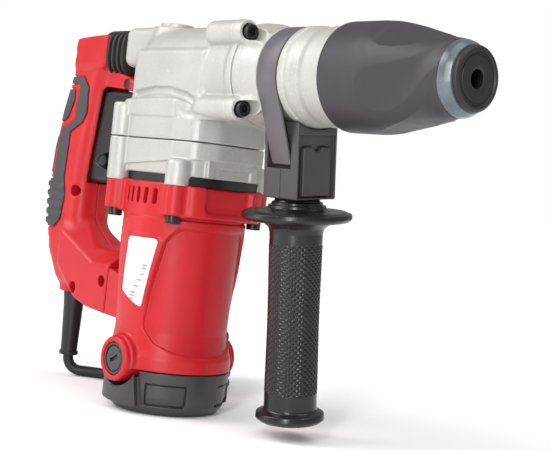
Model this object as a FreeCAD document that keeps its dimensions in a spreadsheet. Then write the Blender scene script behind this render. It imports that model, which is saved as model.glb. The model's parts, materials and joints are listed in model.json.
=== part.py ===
import FreeCAD, Part
import math
import os
import types

import Sketcher
from FreeCAD import Placement, Rotation, Vector

# Rotary hammer, millimetres. +X runs forward along the tool spindle, +Z is up and +Y is the left
# side. The origin is the mouth of the tool bore, on the spindle axis, at the dust cap's front face.
# The motor stands upright below the gear case, so the tool rests on the motor's end cap.

os.makedirs("parts", exist_ok=True)
doc = FreeCAD.newDocument("rotary_hammer")

SIZES = {
    # tool holder, measured along the spindle axis
    "bore_radius": 9.05,
    "bore_depth": 92.0,
    "cap_radius": 19.0,
    "cap_neck_radius": 16.1,
    "cap_rim_length": 3.6,
    "cap_length": 14.0,
    "ring_radius": 22.7,
    "ring_rear": -12.3,
    "ring_front": -4.0,
    "sleeve_radius": 34.2,
    "sleeve_rear": -96.4,
    "sleeve_shoulder": -66.0,
    "sleeve_wall": 2.0,
    "nose_radius": 13.0,
    "spindle_radius": 16.0,
    "guide_radius": 18.0,
    "cylinder_radius": 15.0,
    "spindle_rear": -250.0,
    "roller_radius": 3.5,
    "roller_length": 12.0,
    "roller_offset": 12.8,
    "roller_centre": -39.0,
    # barrel collar and gear housing
    "collar_radius": 31.6,
    "strap_seat_radius": 30.0,
    "strap_seat_rear": -154.0,
    "strap_seat_front": -133.8,
    "flange_rear": -175.0,
    "flange_front": -170.0,
    "flange_radius": 34.5,
    "socket_screw_y": 28.9,
    "socket_screw_z": 24.7,
    "socket_boss_radius": 8.0,
    "barrel_radius": 34.0,
    "barrel_wall": 4.0,
    "barrel_rear": -300.0,
    "neck_radius": 17.0,
    "neck_height": 16.5,
    "neck_rear": -334.0,
    "case_rear": -292.0,
    "case_front": -208.0,
    "case_half_width": 37.0,
    "case_bulge": 7.0,
    "case_wall": 5.0,
    "case_top": -10.0,
    "case_seam": -47.0,
    "case_bottom": -70.5,
    "web_top": -38.0,
    "column_radius": 8.0,
    "column_y": 36.1,
    "column_rear": -284.4,
    "column_front": -217.3,
    # gears
    "gear_module": 1.0,
    "pinion_teeth": 8,
    "wheel_teeth": 32,
    "bevel_module": 1.5,
    "bevel_teeth": 12,
    "crown_teeth": 33,
    "wheel_bottom": -62.0,
    "wheel_top": -55.0,
    "crank_throw": 10.0,
    "crank_pin_radius": 5.0,
    "crank_disc_radius": 15.5,
    "rod_length": 52.0,
    "piston_length": 25.0,
    # motor
    "motor_x": -251.0,
    "motor_top": -77.7,
    "flange_bottom": -98.0,
    "motor_radius_top": 42.9,
    "motor_radius_low": 39.9,
    "motor_radius_seam": 43.6,
    "motor_inner_radius": 37.0,
    "motor_seam": -206.0,
    "base_level": -236.0,
    "cap_wall": 3.5,
    "brush_level": -200.7,
    "brush_boss_radius": 16.0,
    "brush_boss_reach": 47.4,
    "shaft_radius": 5.0,
    "stack_top": -130.0,
    "stack_bottom": -184.0,
    # rear handle
    "handle_half_width": 17.0,
    "arm_half_width": 24.0,
    "handle_wall": 3.5,
    "arm_front": -304.2,
    "stub_rear": -303.0,
    "stub_top": -143.0,
    "stub_bottom": -177.5,
    "pivot_x": -311.0,
    "pivot_z": -154.4,
    "pivot_radius": 4.0,
    "bellows_rear": -366.0,
    "trigger_half_width": 9.0,
    "gland_x": -378.6,
    "gland_top": -160.0,
    "gland_bottom": -220.0,
    # side handle, in its own swivelled frame
    "swivel_angle": 5.8,
    "grip_x": -145.0,
    "strap_rear": -152.6,
    "strap_front": -135.2,
    "strap_inner_radius": 30.05,
    "strap_thickness": 2.0,
    "leg_angle": 13.0,
    "leg_length": 50.0,
    "block_rear": -159.5,
    "block_front": -127.5,
    "block_half_width": 17.5,
    "block_bottom": -78.0,
    "block_top": -26.0,
    "saddle_radius": 33.2,
    "grip_flange_radius": 36.3,
    "grip_radius": 17.5,
    "grip_lip_radius": 23.1,
    "grip_bottom": -227.0,
    # cord
    "cord_diameter": 8.0,
    "coil_diameter": 80.0,
    "coil_centre_x": -337.0,
    "coil_centre_y": 71.0,
    "coil_width": 16.0,
    "coil_height": 32.0,
}

sheet = doc.addObject("Spreadsheet::Sheet", "sizes")
for row, (name, number) in enumerate(SIZES.items(), 1):
    sheet.set("A%d" % row, name)
    sheet.set("B%d" % row, str(number))
    sheet.setAlias("B%d" % row, name)
doc.recompute()


class Size:
    """A length that knows its number and the sheet formula that gives it."""

    def __init__(self, value, formula):
        self.value = float(value)
        self.formula = formula

    def __add__(self, other):
        other = as_size(other)
        return Size(self.value + other.value, "(%s + %s)" % (self.formula, other.formula))

    def __sub__(self, other):
        other = as_size(other)
        return Size(self.value - other.value, "(%s - %s)" % (self.formula, other.formula))

    def __mul__(self, other):
        other = as_size(other)
        return Size(self.value * other.value, "(%s * %s)" % (self.formula, other.formula))

    def __truediv__(self, other):
        other = as_size(other)
        return Size(self.value / other.value, "(%s / %s)" % (self.formula, other.formula))

    def __neg__(self):
        return Size(-self.value, "(-1 * %s)" % self.formula)

    __radd__ = __add__
    __rmul__ = __mul__

    def __rsub__(self, other):
        return as_size(other) - self


def as_size(amount):
    if isinstance(amount, Size):
        return amount
    return Size(amount, "(%.6f)" % amount)


d = types.SimpleNamespace(**{name: Size(number, "sizes." + name) for name, number in SIZES.items()})
NODES = {}


# ---------------------------------------------------------------- building blocks


def bind(item, prop, amount):
    item.setExpression(prop, as_size(amount).formula)


def place(item, rotation, position):
    """Puts an item at a position; coordinates that come from the sheet stay bound to it."""
    sizes = [as_size(amount) for amount in position]
    item.Placement = Placement(Vector(*[size.value for size in sizes]), rotation)
    for letter, amount in zip("xyz", position):
        if isinstance(amount, Size):
            bind(item, "Placement.Base." + letter, amount)


def along(axis, start, centre):
    """The point at start along an axis, with centre giving the two other coordinates in order."""
    spot = list(centre)
    spot.insert("xyz".index(axis), start)
    return spot


Z_TO = {"x": Rotation(Vector(0, 1, 0), 90), "y": Rotation(Vector(1, 0, 0), -90), "z": Rotation()}
X_TO = {"x": Rotation(), "y": Rotation(Vector(0, 0, 1), 90), "z": Rotation(Vector(0, 1, 0), -90)}


def cylinder(axis, radius, start, end, centre=(0, 0)):
    item = doc.addObject("Part::Cylinder", "cylinder")
    bind(item, "Radius", radius)
    bind(item, "Height", as_size(end) - start)
    place(item, Z_TO[axis], along(axis, start, centre))
    return item


def cone(axis, start_radius, end_radius, start, end, centre=(0, 0)):
    item = doc.addObject("Part::Cone", "cone")
    bind(item, "Radius1", start_radius)
    bind(item, "Radius2", end_radius)
    bind(item, "Height", as_size(end) - start)
    place(item, Z_TO[axis], along(axis, start, centre))
    return item


def box(x_range, y_range, z_range):
    item = doc.addObject("Part::Box", "box")
    for prop, (low, high) in zip(("Length", "Width", "Height"), (x_range, y_range, z_range)):
        bind(item, prop, as_size(high) - low)
    place(item, Rotation(), (x_range[0], y_range[0], z_range[0]))
    return item


def slab(length, width, height, placement):
    """A box of three sizes, put straight at a placement."""
    item = doc.addObject("Part::Box", "slab")
    for prop, amount in zip(("Length", "Width", "Height"), (length, width, height)):
        bind(item, prop, amount)
    item.Placement = placement
    return item


def joined(*items):
    item = doc.addObject("Part::MultiFuse", "joined")
    item.Shapes = list(items)
    item.Refine = True
    return item


def without(base, *tools):
    item = doc.addObject("Part::Cut", "cut")
    item.Base = base
    item.Tool = tools[0] if len(tools) == 1 else joined(*tools)
    return item


def group(*items):
    item = doc.addObject("Part::Compound", "group")
    item.Links = list(items)
    return item


def ring(axis, inner, outer, start, end, centre=(0, 0)):
    return without(cylinder(axis, outer, start, end, centre), cylinder(axis, inner, start, end, centre))


def sketch_on(body, plane, level):
    """A sketch on one of a body's origin planes, moved to a level along the plane's normal."""
    sketch = body.newObject("Sketcher::SketchObject", "outline")
    role = plane.upper() + "_Plane"
    support = [feature for feature in body.Origin.OriginFeatures if feature.Role == role][0]
    sketch.AttachmentSupport = (support, "")
    sketch.MapMode = "FlatFace"
    bind(sketch, "AttachmentOffset.Base.z", level)
    return sketch


def draw(sketch, outline):
    """Draws a closed outline of (x, y) corners. A third value on a corner turns the edge that starts
    there into an arc of that radius, curving to the left when it is positive."""
    corners = [(as_size(corner[0]), as_size(corner[1])) for corner in outline]
    spots = [Vector(x.value, y.value, 0) for x, y in corners]
    shapes = []
    ends = []
    for n, corner in enumerate(outline):
        start, end = spots[n], spots[(n + 1) % len(spots)]
        if len(corner) == 2:
            shapes.append(Part.LineSegment(start, end))
            ends.append((1, 2))
        else:
            radius = as_size(corner[2]).value
            chord = end - start
            sagitta = abs(radius) - math.sqrt(radius * radius - chord.Length * chord.Length / 4)
            side = Vector(chord.y, -chord.x, 0).normalize() * math.copysign(sagitta, radius)
            shapes.append(Part.Arc(start, (start + end) * 0.5 + side, end))
            ends.append((1, 2) if radius > 0 else (2, 1))
    sketch.addGeometry(shapes, False)
    for n, (x, y) in enumerate(corners):
        following = (n + 1) % len(corners)
        tie = Sketcher.Constraint("Coincident", n, ends[n][1], following, ends[following][0])
        sketch.addConstraint(tie)
        hold(sketch, "DistanceX", n, ends[n][0], x, -2)
        hold(sketch, "DistanceY", n, ends[n][0], y, -1)
        if len(outline[n]) == 3:
            radius = abs(as_size(outline[n][2]).value)
            sketch.addConstraint(Sketcher.Constraint("Radius", n, radius))


def hold(sketch, kind, shape, end, amount, zero_axis):
    """Holds one coordinate of a corner at an amount from the sketch's origin."""
    if amount.value == 0:
        sketch.addConstraint(Sketcher.Constraint("PointOnObject", shape, end, zero_axis))
        return
    number = sketch.addConstraint(Sketcher.Constraint(kind, -1, 1, shape, end, amount.value))
    sketch.setExpression("Constraints[%d]" % number, amount.formula)


def turned(axis, profile, centre=(0, 0)):
    """A solid of revolution about an axis, from a closed profile of (along, radius) corners."""
    body = doc.addObject("PartDesign::Body", "turned")
    sketch = sketch_on(body, "xz", 0)
    draw(sketch, profile)
    spin = body.newObject("PartDesign::Revolution", "spin")
    spin.Profile = sketch
    spin.ReferenceAxis = (sketch, ["H_Axis"])
    spin.Angle = 360
    place(body, X_TO[axis], along(axis, 0, centre))
    return body


def padded(plane, outline, start, end):
    """A prism from an outline on a plane, between two levels along the plane's third axis."""
    body = doc.addObject("PartDesign::Body", "padded")
    extend(body, plane, outline, start, end)
    return body


def extend(body, plane, outline, start, end):
    start, end = as_size(start), as_size(end)
    sketch = sketch_on(body, plane, -end if plane == "xz" else start)
    draw(sketch, outline)
    pad = body.newObject("PartDesign::Pad", "pad")
    pad.Profile = sketch
    bind(pad, "Length", end - start)


def pocketed(body, plane, outline, start, end):
    """Cuts an outline out of a body between two levels along the plane's third axis."""
    start, end = as_size(start), as_size(end)
    sketch = sketch_on(body, plane, -start if plane == "xz" else end)
    draw(sketch, outline)
    doc.recompute()
    before = body.Tip.Shape.Volume
    pocket = body.newObject("PartDesign::Pocket", "pocket")
    pocket.Profile = sketch
    bind(pocket, "Length", end - start)
    doc.recompute()
    if pocket.Shape.Volume >= before:
        raise ValueError("a pocket cut nothing in " + body.Name)


def rounded(body, radius, wanted):
    """Rounds the edges of a body for which wanted(edge) is true."""
    doc.recompute()
    tip = body.Tip
    names = ["Edge%d" % n for n, edge in enumerate(tip.Shape.Edges, 1) if wanted(edge)]
    fillet = body.newObject("PartDesign::Fillet", "rounding")
    fillet.Base = (tip, names)
    bind(fillet, "Radius", radius)


def runs_along(edge, letter):
    """True for a straight edge that runs along one axis."""
    if edge.Curve.TypeId != "Part::GeomLine":
        return False
    return abs(getattr(edge.Curve.Direction, letter)) > 0.999


def rectangle(left, right, low, high):
    return [(left, low), (right, low), (right, high), (left, high)]


def gear(axis, teeth, module, bore, start, end, centre, turned_by=0):
    """A straight-toothed wheel: a root disc, one slim tooth and its polar pattern. The teeth are a
    little thinner and shorter than a full form, which leaves the pair its running backlash. A wheel
    is turned by half a tooth to mesh with a pinion whose tooth points at it."""
    root = module * teeth / 2 - module
    tip = module * teeth / 2 + module * 0.75
    body = doc.addObject("PartDesign::Body", "gear")
    place(body, X_TO[axis].multiply(Rotation(Vector(1, 0, 0), turned_by)), along(axis, 0, centre))
    disc_sketch = sketch_on(body, "xz", 0)
    draw(disc_sketch, rectangle(start, end, bore, root))
    disc = body.newObject("PartDesign::Revolution", "disc")
    disc.Profile = disc_sketch
    disc.ReferenceAxis = (disc_sketch, ["H_Axis"])
    tooth_sketch = sketch_on(body, "yz", start)
    foot = module * 0.8
    draw(tooth_sketch, [(-foot, root - module * 0.5), (foot, root - module * 0.5),
                        (module * 0.3, tip), (module * -0.3, tip)])
    tooth = body.newObject("PartDesign::Pad", "tooth")
    tooth.Profile = tooth_sketch
    bind(tooth, "Length", as_size(end) - start)
    pattern = body.newObject("PartDesign::PolarPattern", "teeth")
    pattern.Originals = [tooth]
    pattern.Axis = (disc_sketch, ["H_Axis"])
    pattern.Angle = 360
    bind(pattern, "Occurrences", teeth)
    body.Tip = pattern
    return body


def spring(axis, mean_radius, half_wire, turns, start, end, centre=(0, 0)):
    """A coil spring: a square wire swept along a helix between two levels."""
    start, end = as_size(start), as_size(end)
    length = end.value - start.value
    helix = Part.makeHelix(length / turns, length, mean_radius)
    corners = [(-1, -1), (1, -1), (1, 1), (-1, 1), (-1, -1)]
    section = Part.makePolygon([
        Vector(mean_radius + half_wire * across, 0, half_wire * up) for across, up in corners])
    item = doc.addObject("Part::Feature", "spring")
    item.Shape = Part.Wire(helix).makePipeShell([section], True, True)
    place(item, Z_TO[axis], along(axis, start, centre))
    return item


def node(label, item):
    """Names a finished piece; its label is also the name of its file."""
    item.Label = label
    NODES[label] = item
    return item


def swivelled(item):
    """Turns a piece of the side handle about the spindle axis to where the handle is clamped."""
    turn = Placement(Vector(), Rotation(Vector(1, 0, 0), d.swivel_angle.value))
    item.Placement = turn.multiply(item.Placement)
    return item


CORNERS_YZ = [(side * d.socket_screw_y, level * d.socket_screw_z) for side in (-1, 1) for level in (-1, 1)]
COLUMNS = [(x, side * d.column_y) for x in (d.column_rear, d.column_front) for side in (-1, 1)]


# ---------------------------------------------------------------- tool holder and hammer train


def build_tool_holder():
    node("dust_cap", turned("x", [
        (-d.cap_length, d.nose_radius), (-d.cap_length, d.cap_neck_radius),
        (-d.cap_rim_length, d.cap_neck_radius), (-d.cap_rim_length, d.cap_radius - 0.6),
        (-d.cap_rim_length + 0.8, d.cap_radius), (-1.4, d.cap_radius), (0, d.cap_radius - 1.6),
        (0, d.bore_radius), (-2, d.bore_radius), (-2, d.nose_radius)]))
    spindle = turned("x", [
        (-2, d.bore_radius), (-d.bore_depth, d.bore_radius), (-d.bore_depth, 11.05), (-150, 11.05),
        (-150, d.cylinder_radius), (d.spindle_rear, d.cylinder_radius), (d.spindle_rear, d.guide_radius),
        (-176, d.guide_radius), (-176, d.spindle_radius), (-18, d.spindle_radius),
        (-18, d.nose_radius), (-2, d.nose_radius)])
    low, high = d.roller_centre - d.roller_length / 2 - 0.2, d.roller_centre + d.roller_length / 2 + 0.2
    slot = box((low, high), (-30, 30), (-d.roller_radius - 0.1, d.roller_radius + 0.1))
    node("spindle", without(spindle, slot))
    rollers = [
        cylinder("x", d.roller_radius, low + 0.2, high - 0.2, (side * d.roller_offset, 0)) for side in (-1, 1)]
    node("locking_rollers", group(*rollers))
    inner = d.sleeve_radius - d.sleeve_wall
    node("lock_sleeve", turned("x", [
        (d.sleeve_rear, inner), (d.sleeve_rear, d.sleeve_radius), (d.sleeve_shoulder, d.sleeve_radius),
        (-52, 32.2), (-30, 27.0), (d.ring_rear, d.ring_radius), (d.ring_rear, 16.6), (-50, 16.6),
        (-50, 27.0), (-74, 27.0), (-74, inner)]))
    node("sleeve_ring", turned("x", [
        (d.ring_rear, 16.6), (d.ring_rear, d.ring_radius), (-9, d.ring_radius), (-6, 21.8),
        (d.ring_front, 20.0), (d.ring_front, 16.6)]))
    node("lock_spring", spring("x", 21.5, 1.0, 5, -76.5, -51.5))
    node("impact_bolt", turned("x", [
        (-136, 0), (-136, 10), (-118, 10), (-118, 11.0), (-108, 11.0), (-108, 8), (-97, 8), (-97, 0)]))
    node("striker", turned("x", [
        (-190, 0), (-190, 14.95), (-165, 14.95), (-165, 9), (-150.5, 9), (-150.5, 0)]))


def build_piston():
    pin_x = d.crank_x - d.crank_throw + d.rod_length
    rear = pin_x - 11
    front = rear + d.piston_length
    node("piston", without(
        cylinder("x", 14.95, rear, front),
        box((rear - 1, front - 5), (-9, 9), (-5.5, 5.5)),
        cylinder("z", 3.5, -20, 20, (pin_x, 0))))
    node("piston_pin", cylinder("z", 3.5, -12, 12, (pin_x, 0)))
    big_end = pin_x - d.rod_length
    rod = joined(
        cylinder("z", 8, -5, 5, (pin_x, 0)),
        cylinder("z", 9.5, -5, 5, (big_end, 0)),
        box((big_end, pin_x), (-5, 5), (-4, 4)))
    bores = [cylinder("z", 3.5, -6, 6, (pin_x, 0)), cylinder("z", 5.3, -6, 6, (big_end, 0))]
    node("connecting_rod", without(rod, *bores))


# ---------------------------------------------------------------- gears and shafts


def build_gear_train():
    crank = (d.crank_x, 0)
    bevel = (d.bevel_x, 0)
    half_tooth = 180 / SIZES["wheel_teeth"]
    node("crank_gear", gear(
        "z", d.wheel_teeth, d.gear_module, 8, d.wheel_bottom, d.wheel_top, crank, half_tooth))
    node("crankshaft", joined(
        cylinder("z", 8, -64.5, -24, crank),
        cylinder("z", d.crank_disc_radius, -24, -17, crank),
        cylinder("z", d.crank_pin_radius, -17, -6, (d.crank_x - d.crank_throw, 0))))
    node("bevel_drive_gear", gear(
        "z", d.wheel_teeth, d.gear_module, 6, d.wheel_bottom, d.wheel_top, bevel, half_tooth))
    node("bevel_pinion_shaft", joined(
        cylinder("z", 6, -64.5, -27, bevel),
        gear("z", d.bevel_teeth, d.bevel_module, 0, -28.2, -22, bevel)))
    face = d.bevel_x + d.bevel_module * d.bevel_teeth / 2
    crown = doc.addObject("PartDesign::Body", "crown")
    disc_sketch = sketch_on(crown, "xz", 0)
    draw(disc_sketch, rectangle(face + 1.6, face + 10, d.guide_radius, 28.3))
    disc = crown.newObject("PartDesign::Revolution", "disc")
    disc.Profile = disc_sketch
    disc.ReferenceAxis = (disc_sketch, ["H_Axis"])
    tooth_sketch = sketch_on(crown, "yz", face - 1)
    draw(tooth_sketch, [(-0.75, 21.8), (0.75, 21.8), (0.95, 28.0), (-0.95, 28.0)])
    tooth = crown.newObject("PartDesign::Pad", "tooth")
    tooth.Profile = tooth_sketch
    tooth.Length = 3
    pattern = crown.newObject("PartDesign::PolarPattern", "teeth")
    pattern.Originals = [tooth]
    pattern.Axis = (disc_sketch, ["H_Axis"])
    pattern.Angle = 360
    bind(pattern, "Occurrences", d.crown_teeth)
    crown.Tip = pattern
    node("crown_gear", crown)


def build_bearings():
    node("ball_bearings", group(
        ring("z", 8.03, 15, d.case_seam, d.web_top, (d.crank_x, 0)),
        ring("z", 6.03, 12, d.case_seam, d.web_top, (d.bevel_x, 0)),
        ring("z", d.shaft_radius + 0.03, 11, -76, -67, (d.motor_x, 0)),
        ring("z", d.shaft_radius + 0.03, 11, -229, -220, (d.motor_x, 0))))
    node("spindle_bearings", group(
        ring("x", d.spindle_radius + 0.03, 24, -132, -120),
        ring("x", d.guide_radius + 0.04, 22, -205, -193)))


# ---------------------------------------------------------------- castings


def case_outline(inset):
    """The gear case in plan: straight sides and back, with a front wall that bulges forward."""
    left, right = -d.case_half_width + inset, d.case_half_width - inset
    rear, front = d.case_rear + inset, d.case_front - inset
    half = right.value
    bulge = d.case_bulge.value
    radius = (half * half + bulge * bulge) / (2 * bulge)
    return [(rear, left), (front, left, radius), (front, right), (rear, right)]


def build_gear_housing():
    barrel = turned("x", [
        (d.barrel_rear, 0), (d.barrel_rear, d.barrel_radius - 18), (d.barrel_rear + 18, d.barrel_radius),
        (d.flange_rear, d.barrel_radius), (d.flange_rear, 0)])
    case = padded("xy", case_outline(0), d.case_seam, d.case_top)
    rounded(case, 6, lambda edge: runs_along(edge, "z"))
    columns = [cylinder("z", d.column_radius, d.case_seam, -26, spot) for spot in COLUMNS]
    bosses = [cylinder("x", d.socket_boss_radius, -212, d.flange_rear, spot) for spot in CORNERS_YZ]
    chin = box((-215, d.flange_rear), (-24, 24), (d.case_seam, -24))
    neck = cylinder("x", d.neck_radius, d.neck_rear, -290, (0, d.neck_height))
    grease_seat = cylinder("z", 15, 20, 35, (-282, 0))
    selector_seat = cylinder("y", 17, 20, 37.5, (-236, 4))
    shell = joined(barrel, case, *columns, *bosses, chin, neck, grease_seat, selector_seat)
    inner = d.barrel_radius - d.barrel_wall
    cavities = [
        turned("x", [(-295, 0), (-295, 14), (-279, inner), (d.flange_rear + 1, inner), (d.flange_rear + 1, 0)]),
        box((-288, d.case_front - 3), (-26, 26), (d.web_top, -8)),
        cylinder("x", 12, d.neck_rear - 1, -300, (0, d.neck_height)),
        cylinder("z", 15, d.case_seam - 1, d.web_top + 1, (d.crank_x, 0)),
        cylinder("z", 12, d.case_seam - 1, d.web_top + 1, (d.bevel_x, 0)),
        cylinder("z", 12.05, 29, 40, (-282, 0)),
        cylinder("y", 9.05, 20, 40, (-236, 4))]
    screw_holes = [cylinder("x", 3, -204, d.flange_rear + 1, spot) for spot in CORNERS_YZ]
    column_holes = [cylinder("z", 2.9, d.case_seam - 1, -44, spot) for spot in COLUMNS]
    hollow = without(shell, *cavities, *screw_holes, *column_holes)
    web = without(
        cylinder("x", inner + 0.5, -205, -193),
        cylinder("x", 22, -206, -192),
        box((-206, -192), (-40, 40), (-40, -24)))
    node("gear_housing", joined(hollow, web))


def build_lower_gear_case():
    body = padded("xy", case_outline(0), d.case_bottom, d.case_seam)
    rounded(body, 6, lambda edge: runs_along(edge, "z"))
    pocketed(body, "xy", case_outline(d.case_wall), d.case_bottom + 5, d.case_seam)
    columns = [cylinder("z", d.column_radius, d.motor_top, d.case_seam, spot) for spot in COLUMNS]
    hub = cylinder("z", 16, d.motor_top, d.case_bottom + 5, (d.motor_x, 0))
    holes = [cylinder("z", 2.9, d.motor_top - 1, d.case_seam + 1, spot) for spot in COLUMNS]
    gear_room = cylinder("z", 18, d.case_bottom + 5, d.case_seam + 1, (d.crank_x, 0))
    bearing_seat = cylinder("z", 11, -76, -60, (d.motor_x, 0))
    shaft_way = cylinder("z", 6, -90, -60, (d.motor_x, 0))
    node("lower_gear_case", without(joined(body, *columns, hub), *holes, gear_room, bearing_seat, shaft_way))


def build_barrel_collar():
    turned_part = turned("x", [
        (d.flange_rear, 24), (d.flange_rear, d.flange_radius), (d.flange_front, d.flange_radius),
        (-160, 32.0), (d.strap_seat_rear, 31.4), (d.strap_seat_rear, d.strap_seat_radius),
        (d.strap_seat_front, d.strap_seat_radius), (d.strap_seat_front, 32.3), (-129, 32.3), (-128.4, 31.4),
        (-127.4, 31.4), (-126.8, 32.2), (-123, 32.0), (-117, 30.6), (-111, d.collar_radius),
        (-97.5, d.collar_radius), (-97.5, 25.5), (-78, 25.5), (-78, 20), (-132, 20), (-132, 24)])
    bosses = [cylinder("x", d.socket_boss_radius, d.flange_rear, d.flange_front, spot) for spot in CORNERS_YZ]
    holes = [cylinder("x", 3, d.flange_rear - 1, d.flange_front + 1, spot) for spot in CORNERS_YZ]
    heads = [cylinder("x", 5.3, d.flange_front, -150, spot) for spot in CORNERS_YZ]
    bearing_seat = cylinder("x", 24, -132, -120)
    node("barrel_collar", without(joined(turned_part, *bosses), *holes, *heads, bearing_seat))


def socket_screw(axis, shank, head, head_length, start, seat, centre):
    """A cap screw whose head stands out past its seat towards a larger (or smaller) level."""
    away = 1 if as_size(seat).value > as_size(start).value else -1
    top = seat + away * head_length
    levels = (start, seat, top, seat + away * (head_length - 3))
    low = [min(pair, key=lambda size: as_size(size).value) for pair in ((levels[0], levels[1]),
                                                                         (levels[1], levels[2]),
                                                                         (levels[3], levels[2]))]
    high = [max(pair, key=lambda size: as_size(size).value) for pair in ((levels[0], levels[1]),
                                                                          (levels[1], levels[2]),
                                                                          (levels[3], levels[2]))]
    solid = joined(
        cylinder(axis, shank, low[0], high[0], centre),
        cylinder(axis, head, low[1], high[1], centre))
    return without(solid, cylinder(axis, head / 2, low[2], high[2], centre))


def build_screws():
    flange_screws = [socket_screw("x", 3, 5, 6, -200, d.flange_front, spot) for spot in CORNERS_YZ]
    node("flange_screws", group(*flange_screws))
    motor_screws = [socket_screw("z", 2.9, 5, 6, -52, d.flange_bottom, spot) for spot in COLUMNS]
    node("motor_flange_screws", group(*motor_screws))
    cap_screws = []
    for quarter in range(4):
        angle = math.radians(45 + 90 * quarter)
        spot = (d.motor_x + 33 * math.cos(angle), 33 * math.sin(angle))
        cap_screws.append(socket_screw("z", 2, 3.6, 3, -206.5, -228, spot))
    node("end_cap_screws", group(*cap_screws))


# ---------------------------------------------------------------- motor


def flange_outline(inset):
    """The motor flange in plan: as the gear case, a little wider at the screw columns."""
    left, right = -d.case_half_width - 2 + inset, d.case_half_width + 2 - inset
    rear, front = d.case_rear + inset, d.case_front + 1 - inset
    half = right.value
    bulge = d.case_bulge.value
    radius = (half * half + bulge * bulge) / (2 * bulge)
    return [(rear, left), (front, left, radius), (front, right), (rear, right)]


def build_motor_housing():
    axis = (d.motor_x, 0)
    shell = turned("z", [
        (d.motor_top, 0), (d.motor_top, 38), (d.flange_bottom, d.motor_radius_top),
        (-182, d.motor_radius_low), (d.motor_seam + 10, 41), (d.motor_seam, d.motor_radius_seam),
        (d.motor_seam, 0)], axis)
    flange = padded("xy", flange_outline(0), d.flange_bottom, d.motor_top)
    rounded(flange, 7, lambda edge: runs_along(edge, "z"))
    columns = [cylinder("z", 8.6, d.flange_bottom, d.motor_top, spot) for spot in COLUMNS]
    brush_bosses = cylinder(
        "y", d.brush_boss_radius, -d.brush_boss_reach, d.brush_boss_reach, (d.motor_x, d.brush_level))
    stub = box((d.stub_rear, -270), (-d.arm_half_width, d.arm_half_width), (d.stub_bottom, d.stub_top))
    tongue = joined(
        box((d.pivot_x, -290), (-7, 7), (d.pivot_z - 8, d.pivot_z + 8)),
        cylinder("y", 8, -7, 7, (d.pivot_x, d.pivot_z)))
    inside = [
        cylinder("z", d.motor_inner_radius, d.motor_seam - 20, d.motor_top - 4, axis),
        cylinder("z", 30, d.motor_top - 5, d.motor_top + 1, axis),
        cylinder("y", 11.05, -60, 60, (d.motor_x, d.brush_level)),
        cylinder("y", d.pivot_radius, -30, 30, (d.pivot_x, d.pivot_z))]
    holes = [cylinder("z", 2.9, d.flange_bottom - 1, d.motor_top + 1, spot) for spot in COLUMNS]
    heads = [cylinder("z", 5.4, -130, d.flange_bottom, spot) for spot in COLUMNS]
    slots = []
    for number in range(5):
        middle = -268 + 7.2 * number
        for side in (-1, 1):
            slots.append(box((middle - 1.3, middle + 1.3), (side * 40 - 9, side * 40 + 9), (-93, -82)))
    node("motor_housing", without(
        joined(shell, flange, *columns, brush_bosses, stub, tongue), *inside, *holes, *heads, *slots))


def build_end_cap():
    axis = (d.motor_x, 0)
    base = d.base_level
    inner = d.motor_radius_seam - d.cap_wall
    cup = turned("z", [
        (d.motor_seam, inner), (d.motor_seam, d.motor_radius_seam), (base + 11, 42.5), (base + 2.5, 38.5),
        (base, 36), (base, 0), (base + 4, 0), (base + 4, 34), (base + 12, inner)], axis)
    hub = cylinder("z", 14, base + 3, -219, axis)
    posts = []
    bores = [
        cylinder("z", 11, -229, -210, axis),
        cylinder("y", d.brush_boss_radius + 0.1, -60, 60, (d.motor_x, d.brush_level))]
    for quarter in range(4):
        angle = math.radians(45 + 90 * quarter)
        spot = (d.motor_x + 33 * math.cos(angle), 33 * math.sin(angle))
        posts.append(cylinder("z", 5, base + 2, d.motor_seam, spot))
        bores.append(cylinder("z", 2, base - 1, d.motor_seam + 1, spot))
        bores.append(cylinder("z", 3.7, base - 1, -228, spot))
    node("end_cap", without(joined(cup, hub, *posts), *bores))


def build_motor_inside():
    axis = (d.motor_x, 0)
    shaft = cylinder("z", d.shaft_radius, -228.5, d.wheel_bottom - 3.5, axis)
    neck = cylinder("z", 3, d.wheel_bottom - 4, d.wheel_bottom, axis)
    pinion = gear("z", d.pinion_teeth, d.gear_module, 0, d.wheel_bottom - 1, d.wheel_top + 1, axis)
    node("armature_shaft", joined(shaft, neck, pinion))
    node("armature_core", ring("z", d.shaft_radius, 22, d.stack_bottom, d.stack_top, axis))
    node("armature_windings", group(
        ring("z", d.shaft_radius, 19, d.stack_top, d.stack_top + 8, axis),
        ring("z", d.shaft_radius, 19, d.stack_bottom - 6, d.stack_bottom, axis)))
    node("commutator", ring("z", d.shaft_radius, 13, -212, -191, axis))
    blades = [ring("z", d.shaft_radius, 33, -110, -108, axis), ring("z", d.shaft_radius, 11, -108, -96, axis)]
    for number in range(8):
        turn = Placement(Vector(d.motor_x.value, 0, -108.5), Rotation(Vector(0, 0, 1), 45 * number))
        blades.append(slab(22, 1.6, 11.5, turn.multiply(Placement(Vector(10, -0.8, 0), Rotation()))))
    node("cooling_fan", joined(*blades))
    node("field_stack", ring("z", 23, d.motor_inner_radius, d.stack_bottom, d.stack_top, axis))
    node("field_coils", group(
        ring("z", 24, 35, d.stack_top, d.stack_top + 10, axis),
        ring("z", 24, 35, d.stack_bottom - 5, d.stack_bottom, axis)))
    node("air_baffle", without(
        padded("xy", case_outline(4), d.motor_top, d.case_bottom),
        *[cylinder("z", d.column_radius, -90, -60, spot) for spot in COLUMNS],
        cylinder("z", 16, -90, -60, axis)))


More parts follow.
